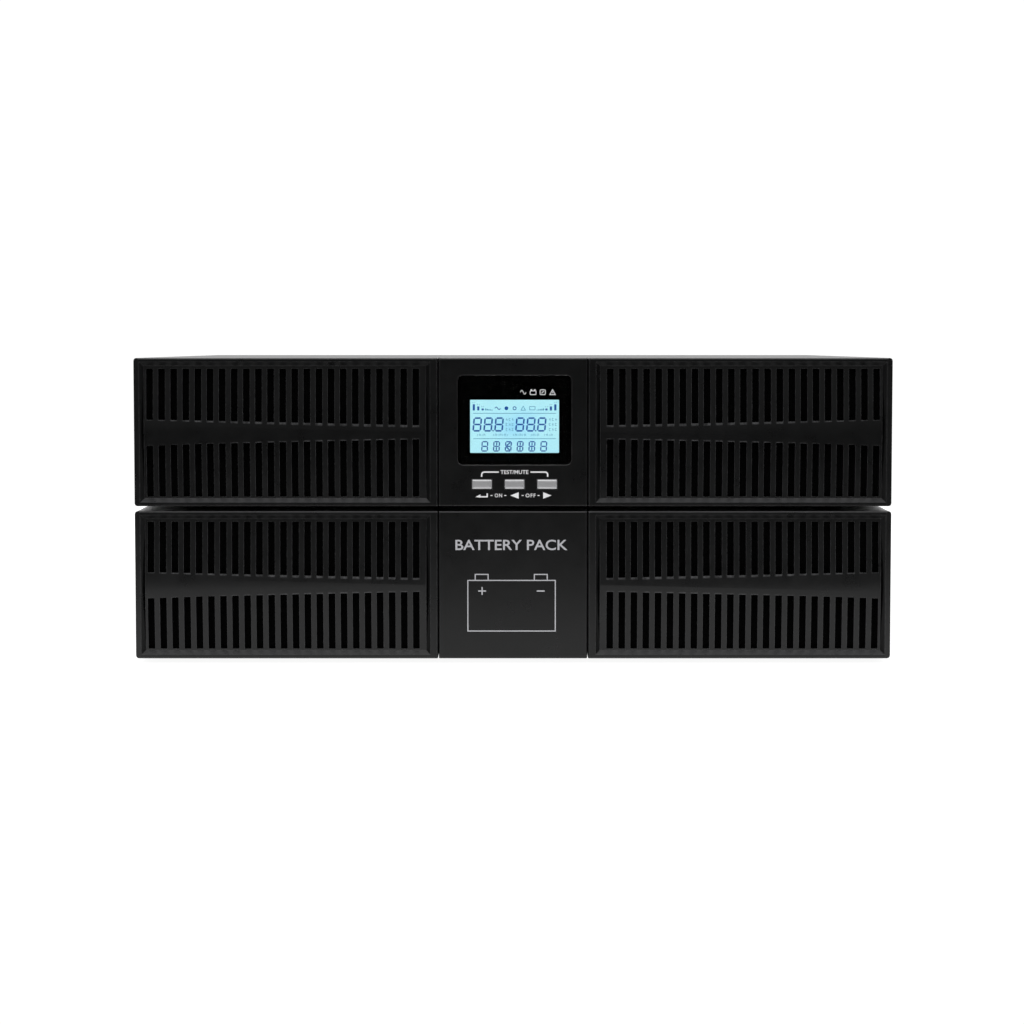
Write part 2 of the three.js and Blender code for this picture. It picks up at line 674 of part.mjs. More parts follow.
function dcConnector() {
  const floor = REAR_PROUD - DC.deep;
  const shell = block(around(0, DC.width), [-DC.depth, REAR_PROUD], around(0, DC.height));
  const poles = around(0, DC.pitch);
  const cavityZ = around(0, DC.cavity);
  const cavities = poles.map((x) => block(around(x, DC.cavity), [floor, REAR_PROUD + 1], cavityZ));
  const contacts = poles.map((x) => block(around(x, 8), [floor - WELD, REAR_PROUD - 6], [-5, -2.6]));
  const rim = flange(DC.width + DC.rim[0], DC.height + DC.rim[1], 2);
  return cut(rim.add(shell), cavities).add(joined(contacts));
}

function resetBreakerBody() {
  const nut = rodAlongY(RESET.nut, [CLEAR, 3], 0, 0, 6);
  const neck = rodAlongY(RESET.neck, [-8, 4.2], 0, 0, 20);
  const shell = block([-8, 8], [-36, -SHEET - CLEAR], [-15, 15]);
  const bore = rodAlongY(RESET.bore, [-16, 6], 0, 0, 20);
  return joined([nut, neck, shell]).subtract(bore);
}

function resetBreakerButton() {
  return rodAlongY(RESET.cap, [-12, RESET.reach], 0, 0, 20);
}

function packBreakerBody() {
  const { width, window, height, depth, step, pivot, drum } = BREAKER;
  const nose = block(around(0, width), [-step, 3], around(0, window));
  const shell = block(around(0, width), [-depth, 1 - step], around(0, height));
  const pocket = block([-14, 14], [pivot - drum - 1, 5], around(0, 2 * drum + 2));
  return nose.add(shell).subtract(pocket);
}

// Toggle in its upper, closed position. It turns about an axis along X through y = z = 0.
function packBreakerToggle() {
  const drum = new THREE.CylinderGeometry(BREAKER.drum, BREAKER.drum, 27, 20).rotateZ(Math.PI / 2);
  const lever = new THREE.BoxGeometry(LEVER.width, LEVER.length, LEVER.thick);
  lever.translate(0, BREAKER.drum / 2 + 1.2, 0).rotateX(LEVER.tilt);
  return solid(drum).add(solid(lever));
}

// Circuit card that lies flat, with its three ports along the rear edge.
function communicationCard() {
  const low = -7.8;
  const card = block(around(0, COMM.card[0]), [-COMM.card[1], -5], [-9, -7.4]);
  const shellOutline = [
    new THREE.Vector2(COMM.serial - 7, -4.2),
    new THREE.Vector2(COMM.serial + 7, -4.2),
    new THREE.Vector2(COMM.serial + 8.3, 4.2),
    new THREE.Vector2(COMM.serial - 8.3, 4.2),
  ];
  const shell = extrude(new THREE.Shape(shellOutline), "XZ", -2, 7);
  const shellBase = block(around(COMM.serial, 30), [-6, -SHEET - CLEAR], [low, 6]);
  const port = block(around(COMM.port, COMM.portWidth), [-16, 1], [low, 3.4]);
  const portMouth = block(around(COMM.port, 8.4), [-8, 2], [-6, 2]);
  const portTongue = block(around(COMM.port, 5.6), [-9, 0], [-3.6, -0.4]);
  const stop = block(around(COMM.stop, COMM.stopWidth), [-12, 2], [low, 1.6]);
  return joined([card, shell, shellBase, port, stop]).subtract(portMouth).add(portTongue);
}

function communicationHoles([x, z]) {
  const low = z - 8.4;
  return [
    rect(around(x + COMM.serial, 17.4), around(z, 11)),
    rect(around(x + COMM.port, COMM.portWidth + 0.8), [low, z + 4]),
    rect(around(x + COMM.stop, COMM.stopWidth + 0.8), [low, z + 2.2]),
  ];
}

function slotCover() {
  const outer = block(around(0, SLOT_COVER.width), [CLEAR, CLEAR + SHEET], around(0, SLOT_COVER.height));
  const [width, height] = SLOT_COVER.inner;
  const inner = block(around(0, width), [-SHEET - 4, CLEAR + WELD], around(0, height));
  return outer.add(inner);
}

// ---------------------------------------------------------------- inside the power module

// The board carries, from the rear: four relays, the input filter, a riser card and the auxiliary supply.
function powerBoard() {
  const top = POWER_BOARD.z + BOARD;
  const standing = (height) => [top - WELD, top + height];
  const card = block(POWER_BOARD.x, POWER_BOARD.y, [POWER_BOARD.z, top]);
  const relays = [0, 1, 2, 3].map((i) => block([-190 + i * 34, -164 + i * 34], [118, 134], standing(16)));
  const filter = block([-196, -150], [40, 84], standing(34));
  const riser = block([-30, 34], [-60, -57], standing(52));
  const supply = block([-40, 24], [-140, -96], standing(30));
  return joined([card, ...relays, filter, riser, supply]);
}

function heatsink() {
  const { fins, pitch, fin, base, height, length } = HEATSINK;
  const half = ((fins - 1) * pitch + fin) / 2;
  const outline = [new THREE.Vector2(-half, 0), new THREE.Vector2(half, 0)];
  for (let i = fins - 1; i >= 0; i -= 1) {
    const right = (i - (fins - 1) / 2) * pitch + fin / 2;
    const left = right - fin;
    outline.push(new THREE.Vector2(right, height), new THREE.Vector2(left, height));
    if (i > 0) outline.push(new THREE.Vector2(left, base), new THREE.Vector2(right - pitch, base));
  }
  return extrude(new THREE.Shape(outline), "XZ", -length / 2, length);
}

function ringCoil() {
  const { outer, inner, height, chamfer } = COIL;
  const profile = [
    new THREE.Vector2(inner + chamfer, 0),
    new THREE.Vector2(outer - chamfer, 0),
    new THREE.Vector2(outer, chamfer),
    new THREE.Vector2(outer, height - chamfer),
    new THREE.Vector2(outer - chamfer, height),
    new THREE.Vector2(inner + chamfer, height),
    new THREE.Vector2(inner, height - chamfer),
    new THREE.Vector2(inner, chamfer),
    new THREE.Vector2(inner + chamfer, 0),
  ];
  return solid(new THREE.LatheGeometry(profile, 20).rotateX(Math.PI / 2));
}

function canCapacitor() {
  return rodAlongZ(CAPACITOR.radius, [0, CAPACITOR.height], 0, 0, 20);
}

function transformer() {
  const core = block([-32, 32], [-14, 14], [0, 54]);
  const winding = block([-20, 20], [-27, 27], [9, 45]);
  return core.add(winding);
}

// ---------------------------------------------------------------- inside the battery pack

// The block's terminal face looks towards +x.
function batteryBlock() {
  const { long, tall, thick, lid, lidStep, terminal, tab } = BATTERY;
  const case_ = block([0, tall - lid], around(0, long), [0, thick]);
  const cap = block([tall - lid - WELD, tall], around(0, long - 2 * lidStep), [lidStep, thick - lidStep]);
  const tabX = [tall - WELD, tall + terminal];
  const tabs = [-60, 60].map((y) => block(tabX, around(y, tab[0]), [12, 12 + tab[1]]));
  return joined([case_, cap, ...tabs]);
}

// Top-hat bar across the pack that holds both rows of blocks down.
function batteryClamp() {
  const half = CLAMP.width / 2;
  const ridgeHalf = CLAMP.ridge / 2;
  const low = BATTERY.thick + SHEET + 2 * CLEAR;
  const top = INNER_TOP - CLEAR;
  const profile = [
    new THREE.Vector2(-half, low),
    new THREE.Vector2(SHEET - ridgeHalf, low),
    new THREE.Vector2(SHEET - ridgeHalf, top - SHEET),
    new THREE.Vector2(ridgeHalf - SHEET, top - SHEET),
    new THREE.Vector2(ridgeHalf - SHEET, low),
    new THREE.Vector2(half, low),
    new THREE.Vector2(half, low + SHEET),
    new THREE.Vector2(ridgeHalf, low + SHEET),
    new THREE.Vector2(ridgeHalf, top),
    new THREE.Vector2(-ridgeHalf, top),
    new THREE.Vector2(-ridgeHalf, low + SHEET),
    new THREE.Vector2(-half, low + SHEET),
  ];
  return extrude(new THREE.Shape(profile), "YZ", -CLAMP.length / 2, CLAMP.length);
}

// ---------------------------------------------------------------- assembly

function addFeet(group, prefix, bottom) {
  const shape = foot(bottom);
  for (const end of ["front", "rear"]) {
    for (const side of ["left", "right"]) {
      const x = side === "left" ? -FOOT_AT.x : FOOT_AT.x;
      const place = [x, FOOT_AT[end], -FOOT_SPACE];
      group.add(mesh(`${prefix}_foot_${end}_${side}`, shape, MATERIALS.rubber, place));
    }
  }
}

function addGrilles(group, prefix) {
  group.add(mesh(`${prefix}_grille_left`, grillePanel(-1), MATERIALS.bezel));
  group.add(mesh(`${prefix}_grille_right`, grillePanel(1), MATERIALS.bezel));
}

function addBatteries(group) {
  const { columns, rows, gapX, gapY, shiftX, setback } = BATTERY_ROWS;
  const shape = batteryBlock();
  const columnPitch = BATTERY.tall + BATTERY.terminal + gapX;
  const rowPitch = BATTERY.long + gapY;
  for (let i = 0; i < columns * rows; i += 1) {
    const x = ((i % columns) - columns / 2) * columnPitch + shiftX;
    const y = CHASSIS_FRONT + setback + BATTERY.long / 2 + Math.floor(i / columns) * rowPitch;
    group.add(mesh(`battery_${i + 1}`, shape, MATERIALS.battery, [x, y, SHEET + CLEAR]));
  }
  const clampY = CHASSIS_FRONT + setback + BATTERY.long + gapY / 2;
  group.add(mesh("battery_clamp", batteryClamp(), MATERIALS.aluminium, [0, clampY, 0]));
}

const atRear = ([x, z]) => [x, CHASSIS_BACK, z];

function batteryPack() {
  const group = new THREE.Group();
  const ventSlots = PACK_VENT_X.flatMap((x) =>
    Array.from({ length: VENT.count }, (_, i) => {
      const offset = (i - (VENT.count - 1) / 2) * VENT.pitch;
      return rect(around(x + offset, VENT.width), [VENT.margin, MODULE_HEIGHT - VENT.margin]);
    }),
  );
  const holes = [
    ...PACK_DC_AT.map((at) => cutout(at, DC.width, DC.height)),
    cutout(PACK_BREAKER_AT, BREAKER.width, BREAKER.window),
    ...ventSlots,
  ];
  group.add(mesh("pack_base_tray", baseTray([]), MATERIALS.steel));
  group.add(mesh("pack_cover", chassisCover(), MATERIALS.steel));
  group.add(mesh("pack_rear_panel", rearPanel(holes), MATERIALS.steel));
  addGrilles(group, "pack");
  group.add(mesh("pack_label_panel", labelPanel(), MATERIALS.bezel));
  addFeet(group, "pack", 0);

  addBatteries(group);
  const dcShape = dcConnector();
  group.add(mesh("pack_dc_connector_ups", dcShape, MATERIALS.grey, atRear(PACK_DC_AT[0])));
  group.add(mesh("pack_dc_connector_link", dcShape, MATERIALS.grey, atRear(PACK_DC_AT[1])));
  group.add(mesh("pack_breaker_body", packBreakerBody(), MATERIALS.grey, atRear(PACK_BREAKER_AT)));
  const [toggleX, toggleZ] = PACK_BREAKER_AT;
  const togglePlace = [toggleX, CHASSIS_BACK + BREAKER.pivot, toggleZ];
  group.add(mesh("pack_breaker_toggle", packBreakerToggle(), MATERIALS.socket, togglePlace));
  return group;
}

function displayModule() {
  const group = new THREE.Group();
  group.add(mesh("display_housing", displayHousing(), MATERIALS.bezel));
  group.add(mesh("display_lens", displayLens(), MATERIALS.lens));
  group.add(mesh("lcd_module", lcdModule(), MATERIALS.lcd));
  group.add(mesh("display_board", displayBoard(), MATERIALS.board));
  const cap = buttonCap();
  ["button_enter", "button_left", "button_right"].forEach((name, i) => {
    group.add(mesh(name, cap, MATERIALS.button, [BUTTON_X[i], FRONT, BUTTON.z]));
  });
  return group;
}

function powerModule() {
  const group = new THREE.Group();
  const holes = [
    ...FAN_X.map((x) => circle(x, MIDDLE, FAN_BORE + 0.5, 36)),
    cutout(SLOT_COVER_AT, ...SLOT_COVER.opening),
    ...communicationHoles(COMM_AT),
    cutout(UPS_DC_AT, DC.width, DC.height),
    cutout(OUTLET_STRIP_AT, STRIP.pitch * STRIP.count, STRIP.height),
    cutout(LARGE_OUTLET_AT, LARGE_COUPLER.width, LARGE_COUPLER.height),
    cutout(INLET_AT, LARGE_COUPLER.width, LARGE_COUPLER.height),
    circle(...RESET_AT, RESET.neck + CLEAR, 20),
  ];
  const standoffs = STANDOFF.x.flatMap((x) => STANDOFF.y.map((y) => [x, y, POWER_BOARD.z - CLEAR]));
  group.add(mesh("ups_base_tray", baseTray(standoffs), MATERIALS.steel));
  group.add(mesh("ups_cover", chassisCover(), MATERIALS.steel));
  group.add(mesh("ups_rear_panel", rearPanel(holes), MATERIALS.steel));
  addGrilles(group, "ups");
  addFeet(group, "ups", CLEAR);
  group.add(displayModule());

  addFans(group);
  addRearFittings(group);
  addPowerParts(group);
  return group;
}

function addFans(group) {
  const fanShapes = { frame: fanFrame(), rotor: fanRotor(), guard: fanGuard() };
  const insideBack = CHASSIS_BACK - SHEET - CLEAR;
  FAN_X.forEach((x, i) => {
    const hand = i === 0 ? "outer" : "inner";
    group.add(mesh(`fan_frame_${hand}`, fanShapes.frame, MATERIALS.fan, [x, insideBack, MIDDLE]));
    group.add(mesh(`fan_rotor_${hand}`, fanShapes.rotor, MATERIALS.fan, [x, insideBack, MIDDLE]));
    group.add(mesh(`fan_guard_${hand}`, fanShapes.guard, MATERIALS.wire, [x, CHASSIS_BACK, MIDDLE]));
  });
}

function addRearFittings(group) {
  group.add(mesh("slot_cover", slotCover(), MATERIALS.steel, atRear(SLOT_COVER_AT)));
  group.add(mesh("communication_card", communicationCard(), MATERIALS.grey, atRear(COMM_AT)));
  group.add(mesh("ups_dc_connector", dcConnector(), MATERIALS.grey, atRear(UPS_DC_AT)));
  group.add(mesh("outlet_strip", outletStrip(), MATERIALS.socket, atRear(OUTLET_STRIP_AT)));
  group.add(mesh("outlet_large", largeOutlet(), MATERIALS.socket, atRear(LARGE_OUTLET_AT)));
  group.add(mesh("mains_inlet", mainsInlet(), MATERIALS.socket, atRear(INLET_AT)));
  group.add(mesh("input_breaker_body", resetBreakerBody(), MATERIALS.socket, atRear(RESET_AT)));
  group.add(mesh("input_breaker_button", resetBreakerButton(), MATERIALS.red, atRear(RESET_AT)));
}

function addPowerParts(group) {
  const onBoard = POWER_BOARD.z + BOARD + CLEAR;
  group.add(mesh("power_board", powerBoard(), MATERIALS.board));
  const sinkShape = heatsink();
  group.add(mesh("heatsink_outer", sinkShape, MATERIALS.aluminium, [FAN_X[0] - 6, 60, onBoard]));
  group.add(mesh("heatsink_inner", sinkShape, MATERIALS.aluminium, [FAN_X[1] - 6, 60, onBoard]));
  group.add(mesh("boost_inductor", ringCoil(), MATERIALS.copper, [-110, 0, onBoard]));
  const capShape = canCapacitor();
  CAPACITOR.x.forEach((x, i) => {
    group.add(mesh(`bus_capacitor_${i + 1}`, capShape, MATERIALS.sleeve, [x, CAPACITOR.y, onBoard]));
  });
  group.add(mesh("transformer", transformer(), MATERIALS.copper, [-20, 60, onBoard]));
}

const rackmountUps = new THREE.Group();
const pack = batteryPack();
pack.position.setZ(FOOT_SPACE);
const ups = powerModule();
ups.position.setZ(MODULE_PITCH + FOOT_SPACE);
rackmountUps.add(pack, ups);

export default rackmountUps;
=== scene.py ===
"""Looks for the rackmount UPS: a power module resting on a battery pack, on a pale studio floor.

Shapes are drawn in millimetres and turned into metres when their mesh is made.
"""

import json
import math
import random

import bmesh
import bpy
from mathutils import Matrix, Vector


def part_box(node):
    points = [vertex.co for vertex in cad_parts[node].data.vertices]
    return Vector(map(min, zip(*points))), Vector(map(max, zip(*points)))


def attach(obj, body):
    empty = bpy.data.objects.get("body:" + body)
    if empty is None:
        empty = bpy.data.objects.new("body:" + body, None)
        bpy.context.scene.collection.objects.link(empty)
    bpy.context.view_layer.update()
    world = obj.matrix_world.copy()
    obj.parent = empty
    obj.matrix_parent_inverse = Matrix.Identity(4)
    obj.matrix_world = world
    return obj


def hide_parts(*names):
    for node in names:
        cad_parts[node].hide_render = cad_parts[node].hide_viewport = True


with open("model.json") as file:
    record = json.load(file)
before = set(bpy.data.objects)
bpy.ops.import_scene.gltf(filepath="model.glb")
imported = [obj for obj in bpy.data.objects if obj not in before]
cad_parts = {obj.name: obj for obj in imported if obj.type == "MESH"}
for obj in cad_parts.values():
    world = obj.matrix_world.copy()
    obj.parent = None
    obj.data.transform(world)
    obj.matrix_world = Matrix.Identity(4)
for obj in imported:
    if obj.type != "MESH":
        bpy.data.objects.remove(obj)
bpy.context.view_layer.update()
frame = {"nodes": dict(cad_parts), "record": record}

MM = 0.001
NODES = frame["nodes"]
RECORD = frame["record"]


def corners(node):
    """Lowest and highest corner of a CAD node in millimetres, as vectors."""
    low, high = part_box(node)
    return Vector(low) / MM, Vector(high) / MM


def middle(node):
    low, high = corners(node)
    return (low + high) / 2


FRONT = corners("ups_grille_left")[0].y  # face of the front panels
BACK = corners("ups_rear_panel")[1].y  # outer face of the rear panels
CHASSIS_SIDE = corners("ups_cover")[1].x
UPS_BOTTOM = corners("ups_grille_left")[0].z
PACK_BOTTOM = corners("pack_grille_left")[0].z
MODULE_HEIGHT = corners("ups_grille_left")[1].z - UPS_BOTTOM

# ---------------------------------------------------------------- materials

MIX_COLOURS = (6, 7)  # a Mix node's two colour inputs
MIX_RESULT = 2


class Nodes:
    """A node tree with short calls for the nodes that the looks here share."""

    def __init__(self, owner):
        owner.use_nodes = True
        self.owner = owner
        self.tree = owner.node_tree
        self.coordinates = self.add("ShaderNodeTexCoord").outputs

    def feed(self, socket, value):
        """Links an input to another node's output, or sets it to a number or a colour."""
        if hasattr(value, "is_output"):
            self.tree.links.new(value, socket)
        elif socket.type == "RGBA":
            socket.default_value = (*value, 1)
        else:
            socket.default_value = value

    def add(self, kind, inputs=None, **values):
        node = self.tree.nodes.new(kind)
        for key, value in values.items():
            setattr(node, key, value)
        for key, value in (inputs or {}).items():
            self.feed(node.inputs[key], value)
        return node

    def surface(self, inputs):
        """Feeds the surface shader and gives the finished material back."""
        shader = self.tree.nodes["Principled BSDF"]
        for key, value in inputs.items():
            self.feed(shader.inputs[key], value)
        return self.owner

    def math(self, operation, first, second):
        return self.add("ShaderNodeMath", {0: first, 1: second}, operation=operation).outputs[0]

    def noise(self, scale, detail=2.0, roughness=0.5, stretch=None):
        place = self.coordinates["Object"]
        if stretch:
            place = self.add("ShaderNodeMapping", {"Vector": place, "Scale": stretch}).outputs[0]
        inputs = {"Vector": place, "Scale": scale, "Detail": detail, "Roughness": roughness}
        return self.add("ShaderNodeTexNoise", inputs).outputs["Fac"]

    def spread(self, value, low, high, from_low=0.3, from_high=0.7):
        inputs = {"Value": value, "From Min": from_low, "From Max": from_high, "To Min": low, "To Max": high}
        return self.add("ShaderNodeMapRange", inputs).outputs["Result"]

    def mix(self, factor, first, second):
        inputs = {0: factor, MIX_COLOURS[0]: first, MIX_COLOURS[1]: second}
        return self.add("ShaderNodeMix", inputs, data_type="RGBA").outputs[MIX_RESULT]

    def mottled(self, first, second, scale, detail=2.0):
        """Two colours in soft patches."""
        return self.mix(self.spread(self.noise(scale, detail), 0, 1), first, second)

    def bump(self, height, depth):
        """Relief of a depth in millimetres."""
        return self.add("ShaderNodeBump", {"Height": height, "Distance": depth * MM}).outputs["Normal"]

    def upward(self):
        """1 on faces that look up, 0 on upright ones."""
        split = self.add("ShaderNodeSeparateXYZ", {0: self.coordinates["Normal"]})
        return self.spread(split.outputs["Z"], 0.0, 1.0, 0.12, 0.75)

    def edges(self, radius):
        """1 on edges that stick out or in, 0 on flat stretches."""
        bevel = self.add("ShaderNodeBevel", {"Radius": radius * MM}, samples=4)
        normals = {0: bevel.outputs["Normal"], 1: self.add("ShaderNodeNewGeometry").outputs["Normal"]}
        dot = self.add("ShaderNodeVectorMath", normals, operation="DOT_PRODUCT")
        return self.spread(dot.outputs["Value"], 1.0, 0.0, 0.9, 0.999)


def look(name):
    return Nodes(bpy.data.materials.new(name))


def scaled(colour, share):
    return [c * share for c in colour]


def finish(
    name, colour, rough, metal=0.0, grain=(1800, 0.02), mottle=0.12,
    edge_wear_and_highlight=None, coat=0.0, specular=0.5, painted_top_light=None,
):
    """Moulded, painted or plated surface, uneven and grained, with edges lightened partly as wear and partly
    as a painted highlight, and faces that look up lightened as a painted top light.

    `mottle` is the share by which colour and roughness vary. `grain` is a noise scale and its depth in
    millimetres. The edge colour is that of the lighter edges, partly wear and partly a painted highlight, and
    the top colour that of faces that look up, a painted highlight of the light from above.
    """
    n = look(name)
    shade = n.mottled(scaled(colour, 1 - mottle), scaled(colour, 1 + mottle), 28, 4)
    # Edges lightened in patches, partly as wear and partly as a painted highlight.
    if edge_wear_and_highlight:
        edge_breakup = n.spread(n.noise(420, 3), 0.2, 1.0)
        shade = n.mix(n.math("MULTIPLY", n.edges(0.5), edge_breakup), shade, edge_wear_and_highlight)
    # Faces that look up lightened: a painted highlight of the light from above.
    if painted_top_light:
        shade = n.mix(n.upward(), shade, painted_top_light)
    smoothest, roughest = rough * (1 - mottle), min(rough * (1 + mottle), 1.0)
    scale, depth = grain
    return n.surface({
        "Base Color": shade,
        "Metallic": metal,
        "Roughness": n.spread(n.noise(90, 5, 0.6), smoothest, roughest),
        "Specular IOR Level": specular,
        "Coat Weight": coat,
        "Coat Roughness": 0.1,
        "Normal": n.bump(n.noise(scale, 3, 0.6), depth),
    })


def brushed(name, colour, rough, stretch):
    """Bare metal with fine lines along one axis."""
    n = look(name)
    lines = n.noise(60, 6, 0.7, stretch)
    return n.surface({
        "Base Color": n.mix(n.spread(lines, 0, 1), scaled(colour, 0.86), colour),
        "Metallic": 1.0,
        "Roughness": n.spread(lines, rough * 0.8, rough * 1.3),
        "Normal": n.bump(lines, 0.01),
    })


def circuit_board():
    """Green solder mask over copper tracks that run square to the card, with tinned holes."""
    n = look("circuit_board")
    place = n.coordinates["Object"]
    layout = {"offset": 0.37, "offset_frequency": 3, "squash": 0.6, "squash_frequency": 2}
    bricks = n.add("ShaderNodeTexBrick", {"Vector": place, "Scale": 32, "Mortar Size": 0.011}, **layout)
    cells = n.add("ShaderNodeTexVoronoi", {"Vector": place, "Scale": 190})
    mask = n.mottled((0.006, 0.05, 0.02), (0.010, 0.08, 0.032), 150, 3)
    tracks = n.mix(bricks.outputs["Fac"], mask, (0.02, 0.16, 0.065))
    holes = n.spread(cells.outputs["Distance"], 1, 0, 0.10, 0.13)
    return n.surface({
        "Base Color": n.mix(holes, tracks, (0.45, 0.46, 0.42)),
        "Roughness": n.spread(n.noise(300), 0.3, 0.45),
        "Normal": n.bump(bricks.outputs["Fac"], 0.04),
    })


def backlight():
    """Display glass lit from behind, a little brighter towards its rim."""
    n = look("lcd_backlight")
    place = {"Vector": n.coordinates["Object"], "Location": middle("lcd_module") * MM,
             "Scale": (27 * MM, 1, 16.5 * MM)}
    away = n.add("ShaderNodeMapping", place, vector_type="TEXTURE").outputs["Vector"]
    gradient = n.add("ShaderNodeTexGradient", {"Vector": away}, gradient_type="QUADRATIC_SPHERE")
    amount = n.math("ADD", gradient.outputs["Fac"], n.spread(n.noise(70, 2), 0.0, 0.25))
    return n.surface({
        "Base Color": (0.05, 0.09, 0.1),
        "Roughness": 0.25,
        "Emission Color": n.mix(amount, (0.50, 0.93, 1.0), (0.34, 0.76, 1.0)),
        "Emission Strength": 1.0,
    })


def clear_pane():
    """Polished acrylic that the display is seen through."""
    n = look("clear_acrylic")
    return n.surface({
        "Base Color": n.mottled((0.93, 0.94, 0.95), (0.96, 0.96, 0.96), 30),
        "Roughness": n.spread(n.noise(60), 0.02, 0.04),
        "IOR": 1.49,
        "Transmission Weight": 1.0,
    })


def lit_ink(name, colour, glow):
    """Display segment in front of the backlight, which shines through it a little."""
    n = look(name)
    return n.surface({
        "Base Color": n.mottled(scaled(colour, 0.9), colour, 60),
        "Roughness": 0.5,
        "Emission Color": n.mottled(scaled(glow, 0.85), glow, 45),
        "Emission Strength": 1.0,
    })


# Black plastic: its lighter upward faces are a painted top light, and its lighter edges are partly wear and
# partly a painted highlight.
BLACK_PLASTIC = finish(
    "black_plastic", (0.0028, 0.0029, 0.0030), 0.30, grain=(2400, 0.010), specular=0.33,
    edge_wear_and_highlight=(0.060, 0.060, 0.062), painted_top_light=(0.020, 0.020, 0.021),
)
BLACK_STEEL = finish(
    "black_powder_coat", (0.008, 0.008, 0.0084), 0.34, grain=(1500, 0.012), mottle=0.06,
    edge_wear_and_highlight=(0.03, 0.03, 0.03),
)
RUBBER = finish("foot_rubber", (0.008, 0.008, 0.008), 0.85, grain=(900, 0.05))
GLOSS_BLACK = finish("gloss_black_acrylic", (0.0016, 0.0016, 0.0018), 0.1, grain=(300, 0.001), mottle=0.05)
SILVER = finish("silver_plastic", (0.46, 0.46, 0.47), 0.34, 0.55, grain=(600, 0.0002), mottle=0.02)
PLATED = brushed("bright_plated_wire", (0.80, 0.80, 0.81), 0.2, (40, 40, 40))
FAN_PLASTIC = finish("fan_plastic", (0.012, 0.012, 0.012), 0.42, grain=(1500, 0.01))
SOCKET = finish("socket_plastic", (0.008, 0.008, 0.008), 0.34, grain=(1200, 0.008), edge_wear_and_highlight=(0.03, 0.03, 0.03))
# Near-black foam behind the grille slots, a dark sheet that stands in for the shade inside them.
SHADE_FOAM = finish("black_shade_foam", (0.0018, 0.0018, 0.0018), 0.95, grain=(700, 0.6), specular=0.05)
GREY = finish("grey_plastic", (0.22, 0.225, 0.23), 0.45, grain=(1500, 0.01), edge_wear_and_highlight=(0.34, 0.34, 0.34))
OFF_WHITE = finish("off_white_plastic", (0.68, 0.67, 0.63), 0.35, grain=(1500, 0.006), mottle=0.05)
ALUMINIUM = brushed("extruded_aluminium", (0.72, 0.73, 0.74), 0.34, (60, 1, 60))
ZINC = brushed("zinc_plated_sheet", (0.62, 0.63, 0.60), 0.36, (6, 9, 7))
BATTERY_CASE = finish("battery_case", (0.042, 0.046, 0.05), 0.5, grain=(1300, 0.02), edge_wear_and_highlight=(0.1, 0.1, 0.1))
COPPER = finish("enamelled_copper", (0.55, 0.20, 0.07), 0.28, 0.85, grain=(2500, 0.01), mottle=0.2, coat=0.4)
SLEEVE = finish("capacitor_sleeve", (0.012, 0.022, 0.05), 0.3, grain=(900, 0.004), coat=0.3)
WHITE_PRINT = finish("white_print", (0.74, 0.74, 0.75), 0.5, grain=(3000, 0.004), mottle=0.05)
GREY_PRINT = finish("pale_grey_print", (0.40, 0.40, 0.42), 0.5, grain=(3000, 0.004), mottle=0.05)
BRASS = brushed("brass_contact", (0.75, 0.58, 0.28), 0.25, (30, 4, 30))
SEGMENT = lit_ink("lcd_segment", (0.002, 0.012, 0.04), (0.002, 0.080, 0.36))
SEGMENT_FAINT = lit_ink("lcd_segment_faint", (0.01, 0.04, 0.06), (0.03, 0.22, 0.42))
RED = finish("red_plastic", (0.42, 0.012, 0.010), 0.35, grain=(1200, 0.006))
GREEN = finish("green_plastic", (0.02, 0.22, 0.07), 0.4, grain=(1200, 0.006))
CORE = finish("core_ferrite", (0.02, 0.022, 0.022), 0.5, grain=(700, 0.05), edge_wear_and_highlight=(0.06, 0.06, 0.06))
BLACK_PRINT = finish("black_print", (0.01, 0.01, 0.01), 0.5, grain=(3000, 0.004))
SCREW = brushed("zinc_screw", (0.55, 0.55, 0.56), 0.28, (90, 90, 90))
DARK_SCREW = finish("black_screw", (0.02, 0.02, 0.021), 0.3, 0.6, grain=(1500, 0.01), edge_wear_and_highlight=(0.09, 0.09, 0.09))
BOARD_GREEN = circuit_board()
BACKLIGHT = backlight()
PANE = clear_pane()

SLOT_MATERIALS = {
    "bezel_plastic": BLACK_PLASTIC,
    "black_steel": BLACK_STEEL,
    "foot_rubber": RUBBER,
    "display_lens": PANE,
    "lcd": OFF_WHITE,
    "circuit_board": BOARD_GREEN,
    "button_grey": SILVER,
    "bright_steel": PLATED,
    "fan_plastic": FAN_PLASTIC,
    "socket_plastic": SOCKET,
    "grey_plastic": GREY,
    "button_light": OFF_WHITE,
    "bare_aluminium": ALUMINIUM,
    "zinc_steel": ZINC,
    "battery_case": BATTERY_CASE,
    "copper_winding": COPPER,
    "capacitor_sleeve": SLEEVE,
    "white_print": WHITE_PRINT,
}

# ---------------------------------------------------------------- CAD nodes

EDGE_RADIUS = {
    "bezel_plastic": 0.18,
    "button_grey": 0.25,
    "fan_plastic": 0.35,
    "socket_plastic": 0.35,
    "grey_plastic": 0.4,
    "battery_case": 1.2,
    "foot_rubber": 0.4,
    "bare_aluminium": 0.2,
    "button_light": 0.5,
}
PLAIN_EDGE_RADIUS = 0.15


def round_edges(obj, radius, segments, angle):
    """Rounds the edges that are sharper than an angle in degrees, to a radius in millimetres."""
    bevel = obj.modifiers.new("round", "BEVEL")
    bevel.width = radius * MM
    bevel.segments = segments
    bevel.limit_method = "ANGLE"
    bevel.angle_limit = math.radians(angle)
    bevel.harden_normals = True


